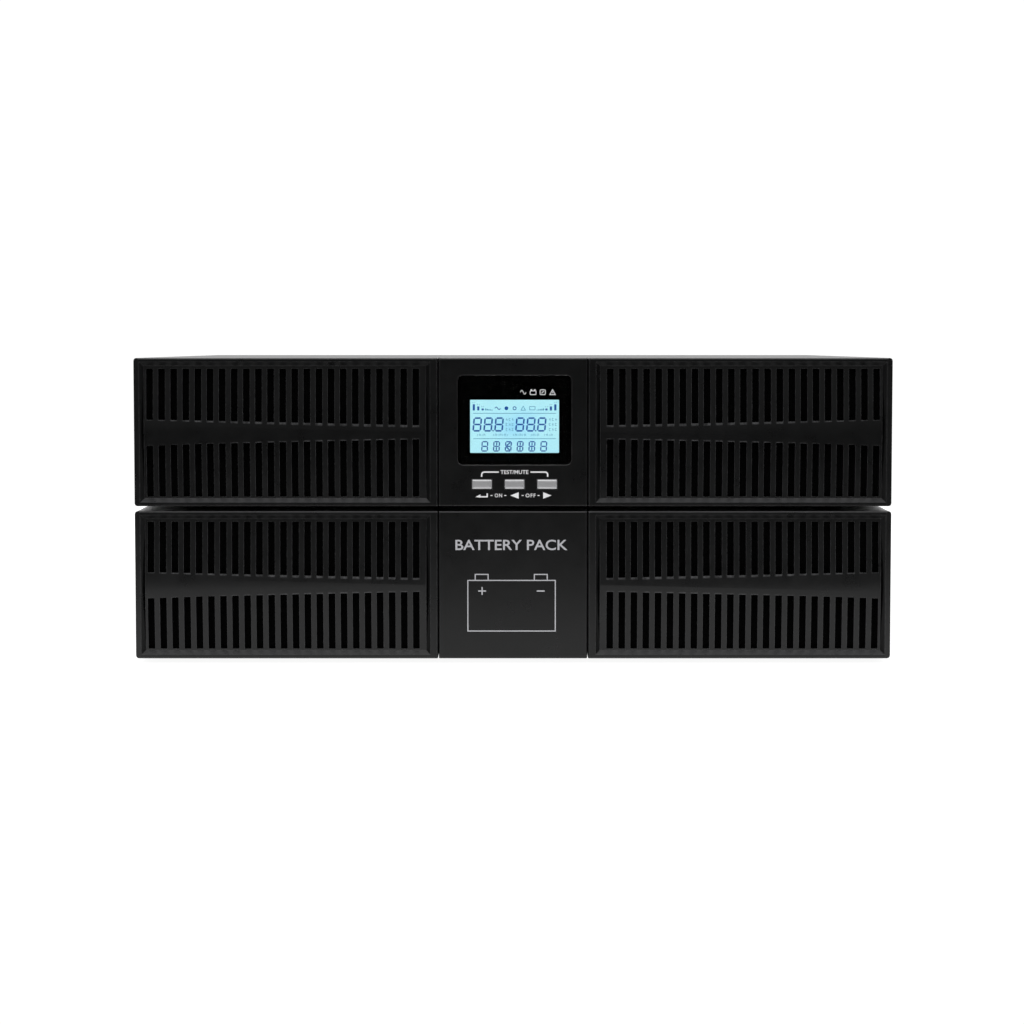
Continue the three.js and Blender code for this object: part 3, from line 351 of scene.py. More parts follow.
def soften(obj, radius):
    """Rounds a CAD node's sharp edges with modifiers, leaving its mesh as it is."""
    weld = obj.modifiers.new("weld", "WELD")
    weld.merge_threshold = 0.002 * MM
    flat = obj.modifiers.new("flat", "DECIMATE")
    flat.decimate_type = "DISSOLVE"
    flat.angle_limit = math.radians(0.6)
    round_edges(obj, radius, segments=2, angle=28)
    smooth = obj.modifiers.new("normals", "WEIGHTED_NORMAL")
    smooth.keep_sharp = False


def dress_cad_nodes():
    slots = {part["node"]: part["material_slot"] for part in RECORD["subparts"]}
    for name, obj in NODES.items():
        slot = slots[name]
        obj.data.materials.clear()
        obj.data.materials.append(SLOT_MATERIALS[slot])
        soften(obj, EDGE_RADIUS.get(slot, PLAIN_EDGE_RADIUS))


# ---------------------------------------------------------------- piece builders


def as_mesh(name, bm):
    bmesh.ops.recalc_face_normals(bm, faces=bm.faces)
    mesh = bpy.data.meshes.new(name)
    bm.to_mesh(mesh)
    bm.free()
    return mesh


SMOOTH = 35  # degrees between faces that still look like one round surface


def piece(name, bm, material, body="ups_module", edge=0.0, smooth=None, stands_for=None):
    """Adds a shape to the scene on a CAD body, with its sharp edges rounded by `edge` millimetres."""
    bmesh.ops.scale(bm, vec=(MM, MM, MM), verts=bm.verts[:])
    mesh = as_mesh(name, bm)
    if smooth:
        mesh.shade_smooth()
        mesh.set_sharp_from_angle(angle=math.radians(smooth))
    mesh.materials.append(material)
    obj = bpy.data.objects.new(name, mesh)
    bpy.context.scene.collection.objects.link(obj)
    if edge:
        round_edges(obj, edge, segments=3, angle=30)
    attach(obj, body)
    if stands_for:
        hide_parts(stands_for)


def shapes(count):
    return [bmesh.new() for _ in range(count)]


def skin(bm, rows, closed_rows=True, closed=False, caps=True):
    """Quads between rows of points, each row one section of the shape."""
    rows = [[bm.verts.new(point) for point in row] for row in rows]
    count = len(rows[0])
    last = count if closed_rows else count - 1
    for i in range(len(rows) if closed else len(rows) - 1):
        a, b = rows[i], rows[(i + 1) % len(rows)]
        for j in range(last):
            k = (j + 1) % count
            bm.faces.new((a[j], a[k], b[k], b[j]))
    if caps and not closed:
        bm.faces.new(list(reversed(rows[0])))
        bm.faces.new(rows[-1])
    return rows


def prism(bm, outline, y0, y1):
    """Closed plate from an outline of (x, z) points, between two depths."""
    skin(bm, [[(x, y, z) for x, z in outline] for y in (y0, y1)])


def frame_plate(bm, outer, inner, y0, y1):
    """Plate with one hole. Both outlines have the same number of points."""
    sections = ((outer, y0), (outer, y1), (inner, y1), (inner, y0))
    skin(bm, [[(x, y, z) for x, z in outline] for outline, y in sections], closed=True)


def ribbon(bm, points, width, y0, y1, closed=False):
    """Line of even width through (x, z) points, with mitred corners."""
    points = [Vector(p) for p in points]
    rows = []
    for i, point in enumerate(points):
        steps = []
        if closed or i > 0:
            steps.append((point - points[i - 1]).normalized())
        if closed or i < len(points) - 1:
            steps.append((points[(i + 1) % len(points)] - point).normalized())
        along = (steps[0] + steps[-1]).normalized()
        across = Vector((-along.y, along.x))
        reach = width / 2 / max(across.dot(Vector((-steps[0].y, steps[0].x))), 0.4)
        a, b = point + across * reach, point - across * reach
        rows.append([(a.x, y0, a.y), (b.x, y0, b.y), (b.x, y1, b.y), (a.x, y1, a.y)])
    skin(bm, rows, closed=closed)


def tube(bm, points, radius, sides=10, closed=False):
    """Round wire through 3-D points."""
    points = [Vector(p) for p in points]
    count = len(points)
    rows = []
    side = None
    for i, point in enumerate(points):
        before = points[i - 1] if closed or i > 0 else point
        after = points[(i + 1) % count] if closed or i < count - 1 else point
        along = (after - before).normalized()
        if side is None:
            side = along.orthogonal().normalized()
        side = (side - along * side.dot(along)).normalized()
        other = along.cross(side)
        rows.append([point + (side * px + other * py) * radius for px, py in circle(0, 0, 1, sides)])
    skin(bm, rows, closed=closed)


def lathe(bm, profile, centre=(0, 0, 0), steps=24):
    """Solid turned about an axis along Y through `centre`. The profile is (radius, y) from axis to axis."""
    centre = Vector(centre)
    first, *turned, last = profile
    rows = [[centre + Vector((px, y, pz)) for px, pz in circle(0, 0, radius, steps)] for radius, y in turned]
    rows = skin(bm, rows, caps=False)
    for y, row in ((first[1], rows[0]), (last[1], rows[-1])):
        tip = bm.verts.new(centre + Vector((0, y, 0)))
        for i, vert in enumerate(row):
            bm.faces.new((vert, row[(i + 1) % steps], tip))


def square(x0, x1, z0, z1):
    """Corners of a rectangle."""
    return [(x0, z0), (x1, z0), (x1, z1), (x0, z1)]


def block(bm, low, high):
    """Box between two corners."""
    (x0, y0, z0), (x1, y1, z1) = low, high
    prism(bm, square(x0, x1, z0, z1), y0, y1)


def slab(bm, x, z, half_x, half_z, y0, y1):
    """Box centred on (x, z), between two depths."""
    block(bm, (x - half_x, y0, z - half_z), (x + half_x, y1, z + half_z))


def rounded(x0, x1, z0, z1, radius, steps=5):
    """Points of a rectangle with round corners."""
    left, right, low, high = x0 + radius, x1 - radius, z0 + radius, z1 - radius
    points = []
    for quarter, (x, z) in enumerate(((right, high), (left, high), (left, low), (right, low))):
        for i in range(steps + 1):
            angle = (quarter + i / steps) * math.pi / 2
            points.append((x + radius * math.cos(angle), z + radius * math.sin(angle)))
    return points


def pad(x, z, half_x, half_z, radius, steps=5):
    """Points of a rectangle with round corners, centred on (x, z)."""
    return rounded(x - half_x, x + half_x, z - half_z, z + half_z, radius, steps)


def circle(x, z, radius, count=32, start=0.0, turn=2 * math.pi):
    """Points round a circle, or along part of it."""
    full = abs(turn) > 6.28
    steps = count if full else count - 1
    angles = [start + turn * i / steps for i in range(count)]
    return [(x + radius * math.cos(angle), z + radius * math.sin(angle)) for angle in angles]


def moved(points, x, z, size=1.0):
    """Points drawn in a unit square about the origin, put in place at a size."""
    return [(x + size * px, z + size * pz) for px, pz in points]


def wave(height, steps=16):
    """Points of one sine wave, 1 long, about the origin."""
    return [(t / steps - 0.5, height * math.sin(2 * math.pi * t / steps)) for t in range(steps + 1)]


def plus(arm, half):
    """Points of an upright cross about the origin."""
    outline = []
    for quarter in range(4):
        turn = Matrix.Rotation(quarter * math.pi / 2, 2)
        outline += [tuple(turn @ Vector(p)) for p in ((arm, -half), (arm, half), (half, half))]
    return outline


def drop(objects):
    """Takes helper objects and their meshes out of the file again."""
    for obj in objects:
        spent = obj.data
        bpy.data.objects.remove(obj)
        bpy.data.meshes.remove(spent)


def carved(bm, cutter):
    """The shape in bm with the shapes in cutter taken out of it."""
    objects = [bpy.data.objects.new("carving", as_mesh("carving", part)) for part in (bm, cutter)]
    for obj in objects:
        bpy.context.scene.collection.objects.link(obj)
    blank, tool = objects
    boolean = blank.modifiers.new("cut", "BOOLEAN")
    boolean.object = tool
    boolean.solver = "EXACT"
    bpy.context.view_layer.update()
    result = bmesh.new()
    result.from_object(blank, bpy.context.evaluated_depsgraph_get())
    drop(objects)
    return result


def join(bm, other):
    """Adds the shape in another bmesh."""
    mesh = as_mesh("joined", other)
    bm.from_mesh(mesh)
    bpy.data.meshes.remove(mesh)


SAME_POINT = 1e-6


def add_text(bm, words, x, z, height, width, y0, y1, spacing=1.0):
    """Plain capitals of the given cap height, stretched to the given width and centred on (x, z)."""
    data = bpy.data.curves.new("words", "FONT")
    data.body = words
    data.resolution_u = 4
    data.extrude = abs(y1 - y0) / 2
    data.offset = 0.012
    data.space_character = spacing
    text = bpy.data.objects.new("words", data)
    bpy.context.scene.collection.objects.link(text)
    bpy.context.view_layer.update()
    mesh = bpy.data.meshes.new_from_object(text.evaluated_get(bpy.context.evaluated_depsgraph_get()))
    bpy.data.objects.remove(text)
    bpy.data.curves.remove(data)
    across, up = ([v.co[axis] for v in mesh.vertices] for axis in (0, 1))
    x_scale, x_middle = width / (max(across) - min(across)), (max(across) + min(across)) / 2
    z_scale, z_middle = height / (max(up) - min(up)), (max(up) + min(up)) / 2
    facing = 1 if y1 > y0 else -1
    for v in mesh.vertices:
        px, py, pz = v.co
        place_x = x + facing * (px - x_middle) * x_scale
        v.co = (place_x, (y0 + y1) / 2 - pz * facing, z + (py - z_middle) * z_scale)
    bmesh.ops.remove_doubles(bm, verts=bm.verts[:], dist=SAME_POINT)
    bm.from_mesh(mesh)
    bpy.data.meshes.remove(mesh)


# ---------------------------------------------------------------- front: grilles

SLOT_FIELD_BACK = 6.5  # back of the slotted floor, behind the panel's face


def shade_foam_mat(side, module, bottom):
    """Open-cell foam mat held against the back of the slots, near black so that it also stands in for the
    shade inside the slots.
    """
    low, high = corners(f"{module}_grille_{side}")
    wall, margin, thick, rough = 3.2, 4.4, 5, 0.5
    x0, x1 = low.x + wall, high.x - wall
    z0, z1 = bottom + margin, bottom + MODULE_HEIGHT - margin
    front_y = low.y + SLOT_FIELD_BACK + 0.4
    columns, rows = 84, 40
    rng = random.Random(7)
    bm = bmesh.new()
    rims = []
    for y, depth in ((front_y, rough), (front_y + thick, 0.0)):
        points = []
        for j in range(rows + 1):
            row = []
            for i in range(columns + 1):
                inside = 0 < i < columns and 0 < j < rows
                dent = depth * rng.random() if inside else depth
                row.append((x0 + (x1 - x0) * i / columns, y + dent, z0 + (z1 - z0) * j / rows))
            points.append(row)
        grid = skin(bm, points, closed_rows=False, caps=False)
        right = [row[-1] for row in grid[1:-1]]
        left = [row[0] for row in grid[1:-1]]
        rims.append(grid[0] + right + grid[-1][::-1] + left[::-1])
    front, back = rims
    for i, vert in enumerate(front):
        k = (i + 1) % len(front)
        bm.faces.new((vert, front[k], back[k], back[i]))
    piece(f"{module}_shade_foam_mat_{side}", bm, SHADE_FOAM, f"{module}_grille_{side}")


def add_shade_foam_mats():
    for module, bottom in (("ups", UPS_BOTTOM), ("pack", PACK_BOTTOM)):
        for side in ("left", "right"):
            shade_foam_mat(side, module, bottom)


# ---------------------------------------------------------------- front: display

INK = 0.05  # thickness of printing
PRINT = (FRONT - INK, FRONT + 0.01)  # depths of a print on the front panels
LCD_WIDTH = 51.6
LCD_HEIGHT = 30.8
LCD_CENTRE = middle("lcd_module")
LENS_FRONT = corners("display_lens")[0].y
LCD_GLASS = corners("lcd_module")[0].y
SEGMENT_DEPTHS = (LCD_GLASS - 0.16, LCD_GLASS - 0.1)


def lcd_point(u, v):
    """A place on the screen, from shares of its width from the left and of its height from the top."""
    return (LCD_CENTRE.x + (u - 0.5) * LCD_WIDTH, LCD_CENTRE.z + (0.5 - v) * LCD_HEIGHT)


def lcd_outline(margin_u, margin_v, radius):
    """The screen's outline, grown by shares of its width and height."""
    left, top = lcd_point(-margin_u, -margin_v)
    right, bottom = lcd_point(1 + margin_u, 1 + margin_v)
    return rounded(left, right, bottom, top, radius)


def add_lens_mask():
    """Black print on the back of the clear lens, with the window for the screen."""
    low, high = corners("display_lens")
    back = high.y + 0.04
    bm = bmesh.new()
    frame_plate(bm, rounded(low.x, high.x, low.z, high.z, 2.7), lcd_outline(0, 0, 0.3), back, back + 0.12)
    piece("lens_mask", bm, GLOSS_BLACK, "display_module")


def add_screen():
    """Backlit glass in front of the display's frame."""
    bm = bmesh.new()
    prism(bm, lcd_outline(0.008, 0.012, 0.4), LCD_GLASS - 0.1, LCD_GLASS - 0.01)
    piece("lcd_screen", bm, BACKLIGHT, "display_module")


def add_bar(bm, start, end, stroke, slant, origin):
    """One pointed display segment between two points."""
    a, b = Vector(start), Vector(end)
    along = (b - a).normalized()
    across = Vector((-along.y, along.x)) * stroke / 2
    a, b = a + along * stroke * 0.18, b - along * stroke * 0.18
    tip = along * stroke / 2
    outline = [a, a + tip + across, b - tip + across, b, b - tip - across, a + tip - across]
    prism(bm, [(p.x + slant * (p.y - origin), p.y) for p in outline], *SEGMENT_DEPTHS)


SEVEN_SEGMENTS = (
    ((0, 1), (1, 1)),
    ((1, 1), (1, 0.5)),
    ((1, 0.5), (1, 0)),
    ((0, 0), (1, 0)),
    ((0, 0.5), (0, 0)),
    ((0, 1), (0, 0.5)),
    ((0, 0.5), (1, 0.5)),
)
UPRIGHT_STROKES = (((0.5, 0.95), (0.5, 0.55)), ((0.5, 0.45), (0.5, 0.05)))
CROSS_STROKES = (((0.12, 0.55), (0.88, 0.95)), ((0.12, 0.45), (0.88, 0.05)))


def add_digit(bm, left, bottom, width, height, stroke, slant, strokes=()):
    """A seven-segment 8, with more strokes inside it for an alphanumeric place."""
    for start, end in SEVEN_SEGMENTS + strokes:
        a, b = ((left + width * u, bottom + height * v) for u, v in (start, end))
        add_bar(bm, a, b, stroke, slant, bottom)


def add_readings(bm):
    """The two large readings and the row of six small places under them."""
    digit_width, pitch, slant = 0.08 * LCD_WIDTH, 0.1225 * LCD_WIDTH, 0.09
    for group in (0.034, 0.514):
        left, top = lcd_point(group, 0.345)
        bottom = lcd_point(group, 0.585)[1]
        for i in range(3):
            add_digit(bm, left + i * pitch, bottom, digit_width, top - bottom, 0.92, slant)
        dot = left + 1.76 * pitch
        prism(bm, rounded(dot, dot + 0.8, bottom - 0.3, bottom + 0.5, 0.2), *SEGMENT_DEPTHS)
    extra = ((), UPRIGHT_STROKES, CROSS_STROKES, UPRIGHT_STROKES, UPRIGHT_STROKES, ())
    for i, strokes in enumerate(extra):
        left, bottom = lcd_point(0.13 + 0.1327 * i, 0.965)
        top = lcd_point(0, 0.79)[1]
        add_digit(bm, left, bottom, 0.062 * LCD_WIDTH, top - bottom, 0.70, 0.06, strokes)


def add_level_bars(bm, faint):
    """Load and battery level ramps in the top corners of the screen."""
    front, back = SEGMENT_DEPTHS
    for mirrored in (False, True):
        for u, top in ((0.042, 0.085), (0.092, 0.125), (0.142, 0.165)):
            place = 1 - u if mirrored else u
            x, z0 = lcd_point(place, 0.2)
            z1 = lcd_point(place, top)[1]
            block(bm, (x - 0.62, front, z0), (x + 0.62, back, z1))
            for side in (-0.5, 0.5):
                dot_x, dot_z = lcd_point(place + (0.02 if mirrored else -0.02) * side, top - 0.035)
                prism(faint, circle(dot_x, dot_z, 0.22, 8), front, back)
        for i in range(5):
            u = 0.175 + 0.018 * i
            x, z = lcd_point(1 - u if mirrored else u, 0.2)
            block(faint, (x - 0.3, front, z), (x + 0.3, back, z + 1.1 - 0.18 * i))


WARNING_TRIANGLE = [(-0.5, -0.42), (0.5, -0.42), (0, 0.45)]
BATTERY_OUTLINE = square(-0.5, 0.5, -0.3, 0.3)


def add_screen_icons(bm, faint):
    """Small state symbols between the ramps."""

    def shape(points, u, size):
        x, z = lcd_point(u, 0.16)
        return moved(points, x, z, size)

    ribbon(bm, shape(wave(0.22, 12), 0.31, 3.2), 0.45, *SEGMENT_DEPTHS)
    prism(bm, shape(circle(0, 0, 1, 20), 0.408, 1.1), *SEGMENT_DEPTHS)
    ribbon(bm, shape(circle(0, 0, 1, 20), 0.5, 0.9), 0.45, *SEGMENT_DEPTHS, closed=True)
    ribbon(faint, shape(WARNING_TRIANGLE, 0.597, 2.6), 0.3, *SEGMENT_DEPTHS, closed=True)
    ribbon(faint, shape(BATTERY_OUTLINE, 0.7, 3.1), 0.3, *SEGMENT_DEPTHS, closed=True)


PEAK_MARK = [(-0.4, -0.6), (0, 0.6), (0.4, -0.6)]
BRACKET_MARK = [(0.4, 0.6), (-0.4, 0.6), (-0.4, -0.6), (0.4, -0.6)]
ARCH_MARK = [(-0.32, -0.5), (-0.32, 0.5), (0.32, 0.5), (0.32, -0.5)]
STROKE_MARK = [(0, -0.5), (0, 0.5)]
OUTER_PEAKS, MIDDLE_PEAK = (PEAK_MARK, BRACKET_MARK, PEAK_MARK), (BRACKET_MARK, PEAK_MARK, BRACKET_MARK)
UNIT_ROWS = ((0.37, OUTER_PEAKS), (0.465, MIDDLE_PEAK), (0.56, MIDDLE_PEAK))
CAPTION_SPANS = ((0.075, 0.19), (0.255, 0.43), (0.48, 0.625), (0.68, 0.78), (0.83, 0.925))
CAPTION_PITCH = 0.026


def add_faint_marks(faint):
    """Separator lines, and rows of unlit marks in place of units and captions."""
    front, back = SEGMENT_DEPTHS
    for v in (0.255, 0.733):
        x0, z = lcd_point(0.035, v)
        x1 = lcd_point(0.965, v)[0]
        block(faint, (x0, front, z - 0.14), (x1, back, z + 0.14))
    for group in (0.4, 0.885):
        for v, marks in UNIT_ROWS:
            for i, mark in enumerate(marks):
                x, z = lcd_point(group + 0.034 * i, v)
                ribbon(faint, moved(mark, x + 0.6, z), 0.22, front, back)
    for start, end in CAPTION_SPANS:
        for i in range(round((end - start) / CAPTION_PITCH)):
            x, z = lcd_point(start + CAPTION_PITCH * i, 0.664)
            mark = ARCH_MARK if i % 2 else STROKE_MARK
            ribbon(faint, moved(mark, x + 0.4, z, 1.1), 0.2, front, back)


def add_screen_content():
    bm, faint = shapes(2)
    add_readings(bm)
    add_level_bars(bm, faint)
    add_screen_icons(bm, faint)
    add_faint_marks(faint)
    piece("lcd_segments", bm, SEGMENT, "display_module")
    piece("lcd_faint_marks", faint, SEGMENT_FAINT, "display_module")


def add_lens_icons():
    """White state symbols printed on the lens above the screen."""
    z, line = UPS_BOTTOM + 66.2, 0.42
    depths = (LENS_FRONT - INK, LENS_FRONT + 0.01)
    bm = bmesh.new()
    ribbon(bm, moved(wave(0.34), 5.9, z, 3.3), 0.36, *depths)
    x = 11.6
    ribbon(bm, rounded(x - 1.7, x + 1.7, z - 1.4, z + 0.8, 0.5), line, *depths, closed=True)
    for tab in (-1, 1):
        block(bm, (x + tab - 0.45, depths[0], z + 1.02), (x + tab + 0.45, depths[1], z + 1.75))
    x = 17.2
    ribbon(bm, pad(x, z, 1.5, 1.4, 0.6), line, *depths, closed=True)
    ribbon(bm, [(x - 0.7, z - 0.6), (x + 0.7, z + 0.7)], line, *depths)
    x = 22.9
    ribbon(bm, moved([(-0.5, -0.42), (0.5, -0.42), (0, 0.48)], x, z - 0.05, 3.2), line, *depths, closed=True)
    slab(bm, x, z - 0.1, 0.2, 0.5, *depths)
    piece("lens_icons", bm, WHITE_PRINT, "display_module")


def add_button_legends():
    """White symbols and plain words round the three buttons."""
    bm = bmesh.new()
    z_line, z_end, bend = UPS_BOTTOM + 19.9, UPS_BOTTOM + 17.2, 1.5
    for outer, inner in ((-18.2, -8.3), (20.1, 10.1)):
        turn = 1 if outer < inner else -1
        start = math.pi if turn > 0 else 0
        arc = circle(outer + turn * bend, z_line - bend, bend, 7, start, -turn * math.pi / 2)
        ribbon(bm, [(outer, z_end)] + arc + [(inner, z_line)], 0.8, *PRINT)
    add_text(bm, "TEST/MUTE", 0.8, z_line, 2.3, 16.2, *PRINT)
    z = UPS_BOTTOM + 6.3
    add_text(bm, "ON", -8.5, z, 2.2, 4.3, *PRINT, 1.2)
    add_text(bm, "OFF", 10.2, z, 2.2, 5.8, *PRINT, 1.2)
    for x in (-12.5, -4.5, 5.6, 14.8):
        slab(bm, x, z, 0.6, 0.25, *PRINT)
    prism(bm, [(-1.6, z), (3.3, z - 1.9), (3.3, z + 1.9)], *PRINT)
    prism(bm, [(22.3, z), (17.5, z + 1.9), (17.5, z - 1.9)], *PRINT)
    low = z - 0.75
    prism(bm, [(-21.8, low - 0.15), (-18.9, low - 0.5), (-18.9, low + 1.5)], *PRINT)
    ribbon(bm, [(-18.95, low), (-15.0, low), (-15.0, low + 2.0)], 0.75, *PRINT)
    piece("button_legends", bm, WHITE_PRINT, "display_module")


def add_button(node):
    """Moulded cap with a crowned face, its stop flange and the stem that reaches the switch."""
    low, high = corners(node)
    x, z = (low.x + high.x) / 2, (low.z + high.z) / 2
    flange, thick, stem = FRONT + 2.8, 1.2, 2
    proud, crown, steps = FRONT - low.y, 1.5, 6
    sections = []
    for i in range(steps + 1):
        angle = i / steps * math.pi / 2
        sections.append((low.y + proud * 1.1 * (1 - math.cos(angle)), crown * (1 - math.sin(angle))))
    sections.append((flange, 0))
    bm = bmesh.new()
    skin(bm, [
        [(px, y, pz) for px, pz in pad(x, z, 5.75 - inset, 2.75 - inset, 0.55, 4)] for y, inset in sections
    ])
    block(bm, (low.x, flange, low.z), (high.x, flange + thick, high.z))
    slab(bm, x, z, stem, stem, flange + thick, high.y)
    piece(node + "_cap", bm, SILVER, node, smooth=SMOOTH, stands_for=node)


def add_battery_print():
    """Plain caption and outline of a battery on the lower centre panel."""
    bm = bmesh.new()
    add_text(bm, "BATTERY PACK", -0.9, PACK_BOTTOM + 66.4, 6.1, 65.2, *PRINT)
    left, right = -26.3, 24.6
    bottom, top = PACK_BOTTOM + 16.1, PACK_BOTTOM + 45.7
    line = 0.62
    ribbon(bm, square(left, right, bottom, top), line, *PRINT, closed=True)
    for x0 in (-22.0, 12.4):
        x1, tip, foot = x0 + 7.5, top + 3.5, top + line / 2 + 0.02
        ribbon(bm, [(x0, foot), (x0, tip), (x1, tip), (x1, foot)], line, *PRINT)
    add_pole_signs(bm, -18.0, 16.1, PACK_BOTTOM + 39.5, 2.3, 0.36, PRINT)
    piece("battery_print", bm, GREY_PRINT, "pack_label_panel")


def add_pole_signs(bm, plus_x, minus_x, z, arm, half, depths):
    """A plus and a minus at one height."""
    prism(bm, moved(plus(arm, half), plus_x, z), *depths)
    slab(bm, minus_x, z, arm, half, *sorted(depths))


def add_front():
    add_shade_foam_mats()
    add_lens_mask()
    add_screen()
    add_screen_content()
    add_lens_icons()
    add_button_legends()
    for node in ("button_enter", "button_left", "button_right"):
        add_button(node)
    add_battery_print()


# ---------------------------------------------------------------- rear

OUT = (0, 1, 0)  # away from the rear panels
REAR_PRINT = (BACK + INK, BACK - 0.01)
PACK_CONNECTORS = ("pack_dc_connector_ups", "pack_dc_connector_link")


PAN_HEAD = [(0, 0), (0.98, 0), (1, 0.12), (1, 0.42), (0.93, 0.68), (0.76, 0.86), (0.45, 0.97), (0, 1)]


def screw_head():
    """Pan head with a cross recess, 1 in radius and 1 high, facing +Y."""
    bm, cutter = shapes(2)
    lathe(bm, PAN_HEAD, steps=28)
    prism(cutter, plus(0.58, 0.13), 0.45, 1.5)
    return as_mesh("screw_head", carved(bm, cutter))


SCREW_HEAD = screw_head()


def add_screws(name, body, places, material):
    """Screws at (place, direction, radius, height)."""
    bm = bmesh.new()
    for place, direction, radius, height in places:
        turn = Vector(OUT).rotation_difference(Vector(direction)).to_matrix().to_4x4()
        size = Matrix.Diagonal((radius, height, radius, 1))
        before = len(bm.verts)
        bm.from_mesh(SCREW_HEAD)
        bm.verts.ensure_lookup_table()
        bmesh.ops.transform(bm, matrix=Matrix.Translation(place) @ turn @ size, verts=bm.verts[before:])
    piece(name, bm, material, body, smooth=40)


FLANGE_FACES = {"slot_cover": 1.5, "mains_inlet": 2.8}
CONNECTOR_FACE = 2.3


def flange_screws(node, gap):
    """One screw near each end of a fitting's flange."""
    low, high = corners(node)
    y = BACK + FLANGE_FACES.get(node, CONNECTOR_FACE)
    return [((x, y, (low.z + high.z) / 2), OUT, 2.4, 1.7) for x in (low.x + gap, high.x - gap)]


def add_rear_screws():
    for body, bottom, name in (("ups_module", UPS_BOTTOM, "ups"), ("battery_pack", PACK_BOTTOM, "pack")):
        places = []
        for side in (-1, 1):
            for y in (-150, 12, 170):
                places.append(((side * CHASSIS_SIDE, y, bottom + 10.5), (side, 0, 0), 3.4, 0.85))
        for x in (-213, 213):
            for z in (bottom + 6.5, bottom + 81.5):
                places.append(((x, BACK, z), OUT, 2.5, 1.7))
        add_screws(f"{name}_cover_screws", body, places, DARK_SCREW)
    places = []
    for name in ("outer", "inner"):
        guard = f"fan_guard_{name}"
        centre, y = middle(guard), corners(guard)[1].y - 0.15
        for dx in (-FAN_HOLES, FAN_HOLES):
            for dz in (-FAN_HOLES, FAN_HOLES):
                places.append(((centre.x + dx, y, centre.z + dz), OUT, 3.0, 1.9))
    for node, gap in (("slot_cover", 3.8), ("ups_dc_connector", 4.0), ("mains_inlet", 3.6)):
        places += flange_screws(node, gap)
    add_screws("ups_fitting_screws", "ups_module", places, SCREW)
    places = [place for node in PACK_CONNECTORS for place in flange_screws(node, 4.0)]
    add_screws("pack_fitting_screws", "battery_pack", places, SCREW)


FAN_HOLES = 71.5 / 2  # from a fan's axis to its screws
WIRE = 0.8  # radius of the guard wire
GUARD_RINGS = (9.5, 17.8, 26.1, 34.4)
SPOKE_STOPS = (8.8, 20, 32, 40)  # from a fan's axis to the points of a radial wire


def add_fan_guard(hand):
    """Welded wire guard: four rings, four radial wires that end in screw eyes."""
    node = f"fan_guard_{hand}"
    low, high = corners(node)
    centre = (low + high) / 2
    ring_y, spoke_y = high.y - WIRE, low.y + 0.75
    bm = bmesh.new()
    for radius in GUARD_RINGS:
        ring = [(x, ring_y, z) for x, z in circle(centre.x, centre.z, radius, 72)]
        tube(bm, ring, WIRE, closed=True)
    reach, eye = FAN_HOLES * math.sqrt(2), 2.5
    for quarter in range(4):
        angle = math.pi / 4 + quarter * math.pi / 2
        along = Vector((math.cos(angle), math.sin(angle)))
        spoke = [centre.xz + along * stop for stop in SPOKE_STOPS]
        loop = circle(*(centre.xz + along * reach), eye, 20, angle + math.pi, 1.9 * math.pi)
        tube(bm, [(x, spoke_y, z) for x, z in spoke + loop], WIRE * 0.9)
    piece(f"{node}_wires", bm, PLATED, smooth=SMOOTH, stands_for=node)


COUPLER_SLOTS = ((-7, -2), (0, 2.5), (7, -2))  # contact slots of a small outlet
LARGE_SLOTS = ((-6.5, -4), (6.5, -4), (0, 4))
INLET_PINS = ((-7, -3.6), (7, -3.6), (0, 4))
OUTLET_PITCH = 32.5


def outlet_places():
    centre = middle("outlet_strip")
    return [(centre.x + (i - 1.5) * OUTLET_PITCH, centre.z) for i in range(4)]


def add_socket_contacts():
    """Sprung brass leaves in the slots of every outlet."""
    mouth = corners("outlet_strip")[1].y
    depths = (mouth - 14, mouth - 3)
    leaf = 0.35 / 2
    bm = bmesh.new()
    for x, z in outlet_places():
        for dx, dz in COUPLER_SLOTS:
            for side in (-0.85, 0.85):
                slab(bm, x + dx + side, z + dz, leaf, 2.2, *depths)
    centre = middle("outlet_large")
    for dx, dz in LARGE_SLOTS:
        for side in (-0.9, 0.9):
            slab(bm, centre.x + dx, centre.z + dz + side, 3.8, leaf, *depths)
    piece("outlet_contacts", bm, BRASS)


def add_inlet_pins():
    """Plated blades with tapered tips."""
    centre, mouth = middle("mains_inlet"), corners("mains_inlet")[1].y
    bm = bmesh.new()
    for dx, dz in INLET_PINS:
        rows = []
        for depth, inset in ((17.9, 0), (4.0, 0), (2.6, 0.55)):
            outline = pad(centre.x + dx, centre.z + dz, 4.06 - inset, 1.06 - inset, 0.3, 3)
            rows.append([(x, mouth - depth, z) for x, z in outline])
        skin(bm, rows)
    piece("inlet_pins", bm, PLATED, edge=0.15)


POLE = 8  # from a battery connector's middle to each of its poles


def add_dc_contacts(node, body):
    """Silvered contact tongues in a two-pole battery connector, and red and black pole rings."""
    centre = middle(node)
    bm, red, black = shapes(3)
    half, wall = 6.1, 0.5
    for x, ring in ((centre.x - POLE, black), (centre.x + POLE, red)):
        block(bm, (x - 4.1, BACK - 13.9, centre.z - 5.1), (x + 4.1, BACK + 0.1, centre.z - 2.45))
        outer = pad(x, centre.z, half, half, 0.5, 2)
        inner = pad(x, centre.z, half - wall, half - wall, 0.4, 2)
        frame_plate(ring, outer, inner, BACK + 4.2, BACK + 5.9)
    piece(f"{node}_contacts", bm, PLATED, body, edge=0.5)
    piece(f"{node}_plus_ring", red, RED, body)
    piece(f"{node}_minus_ring", black, SOCKET, body)


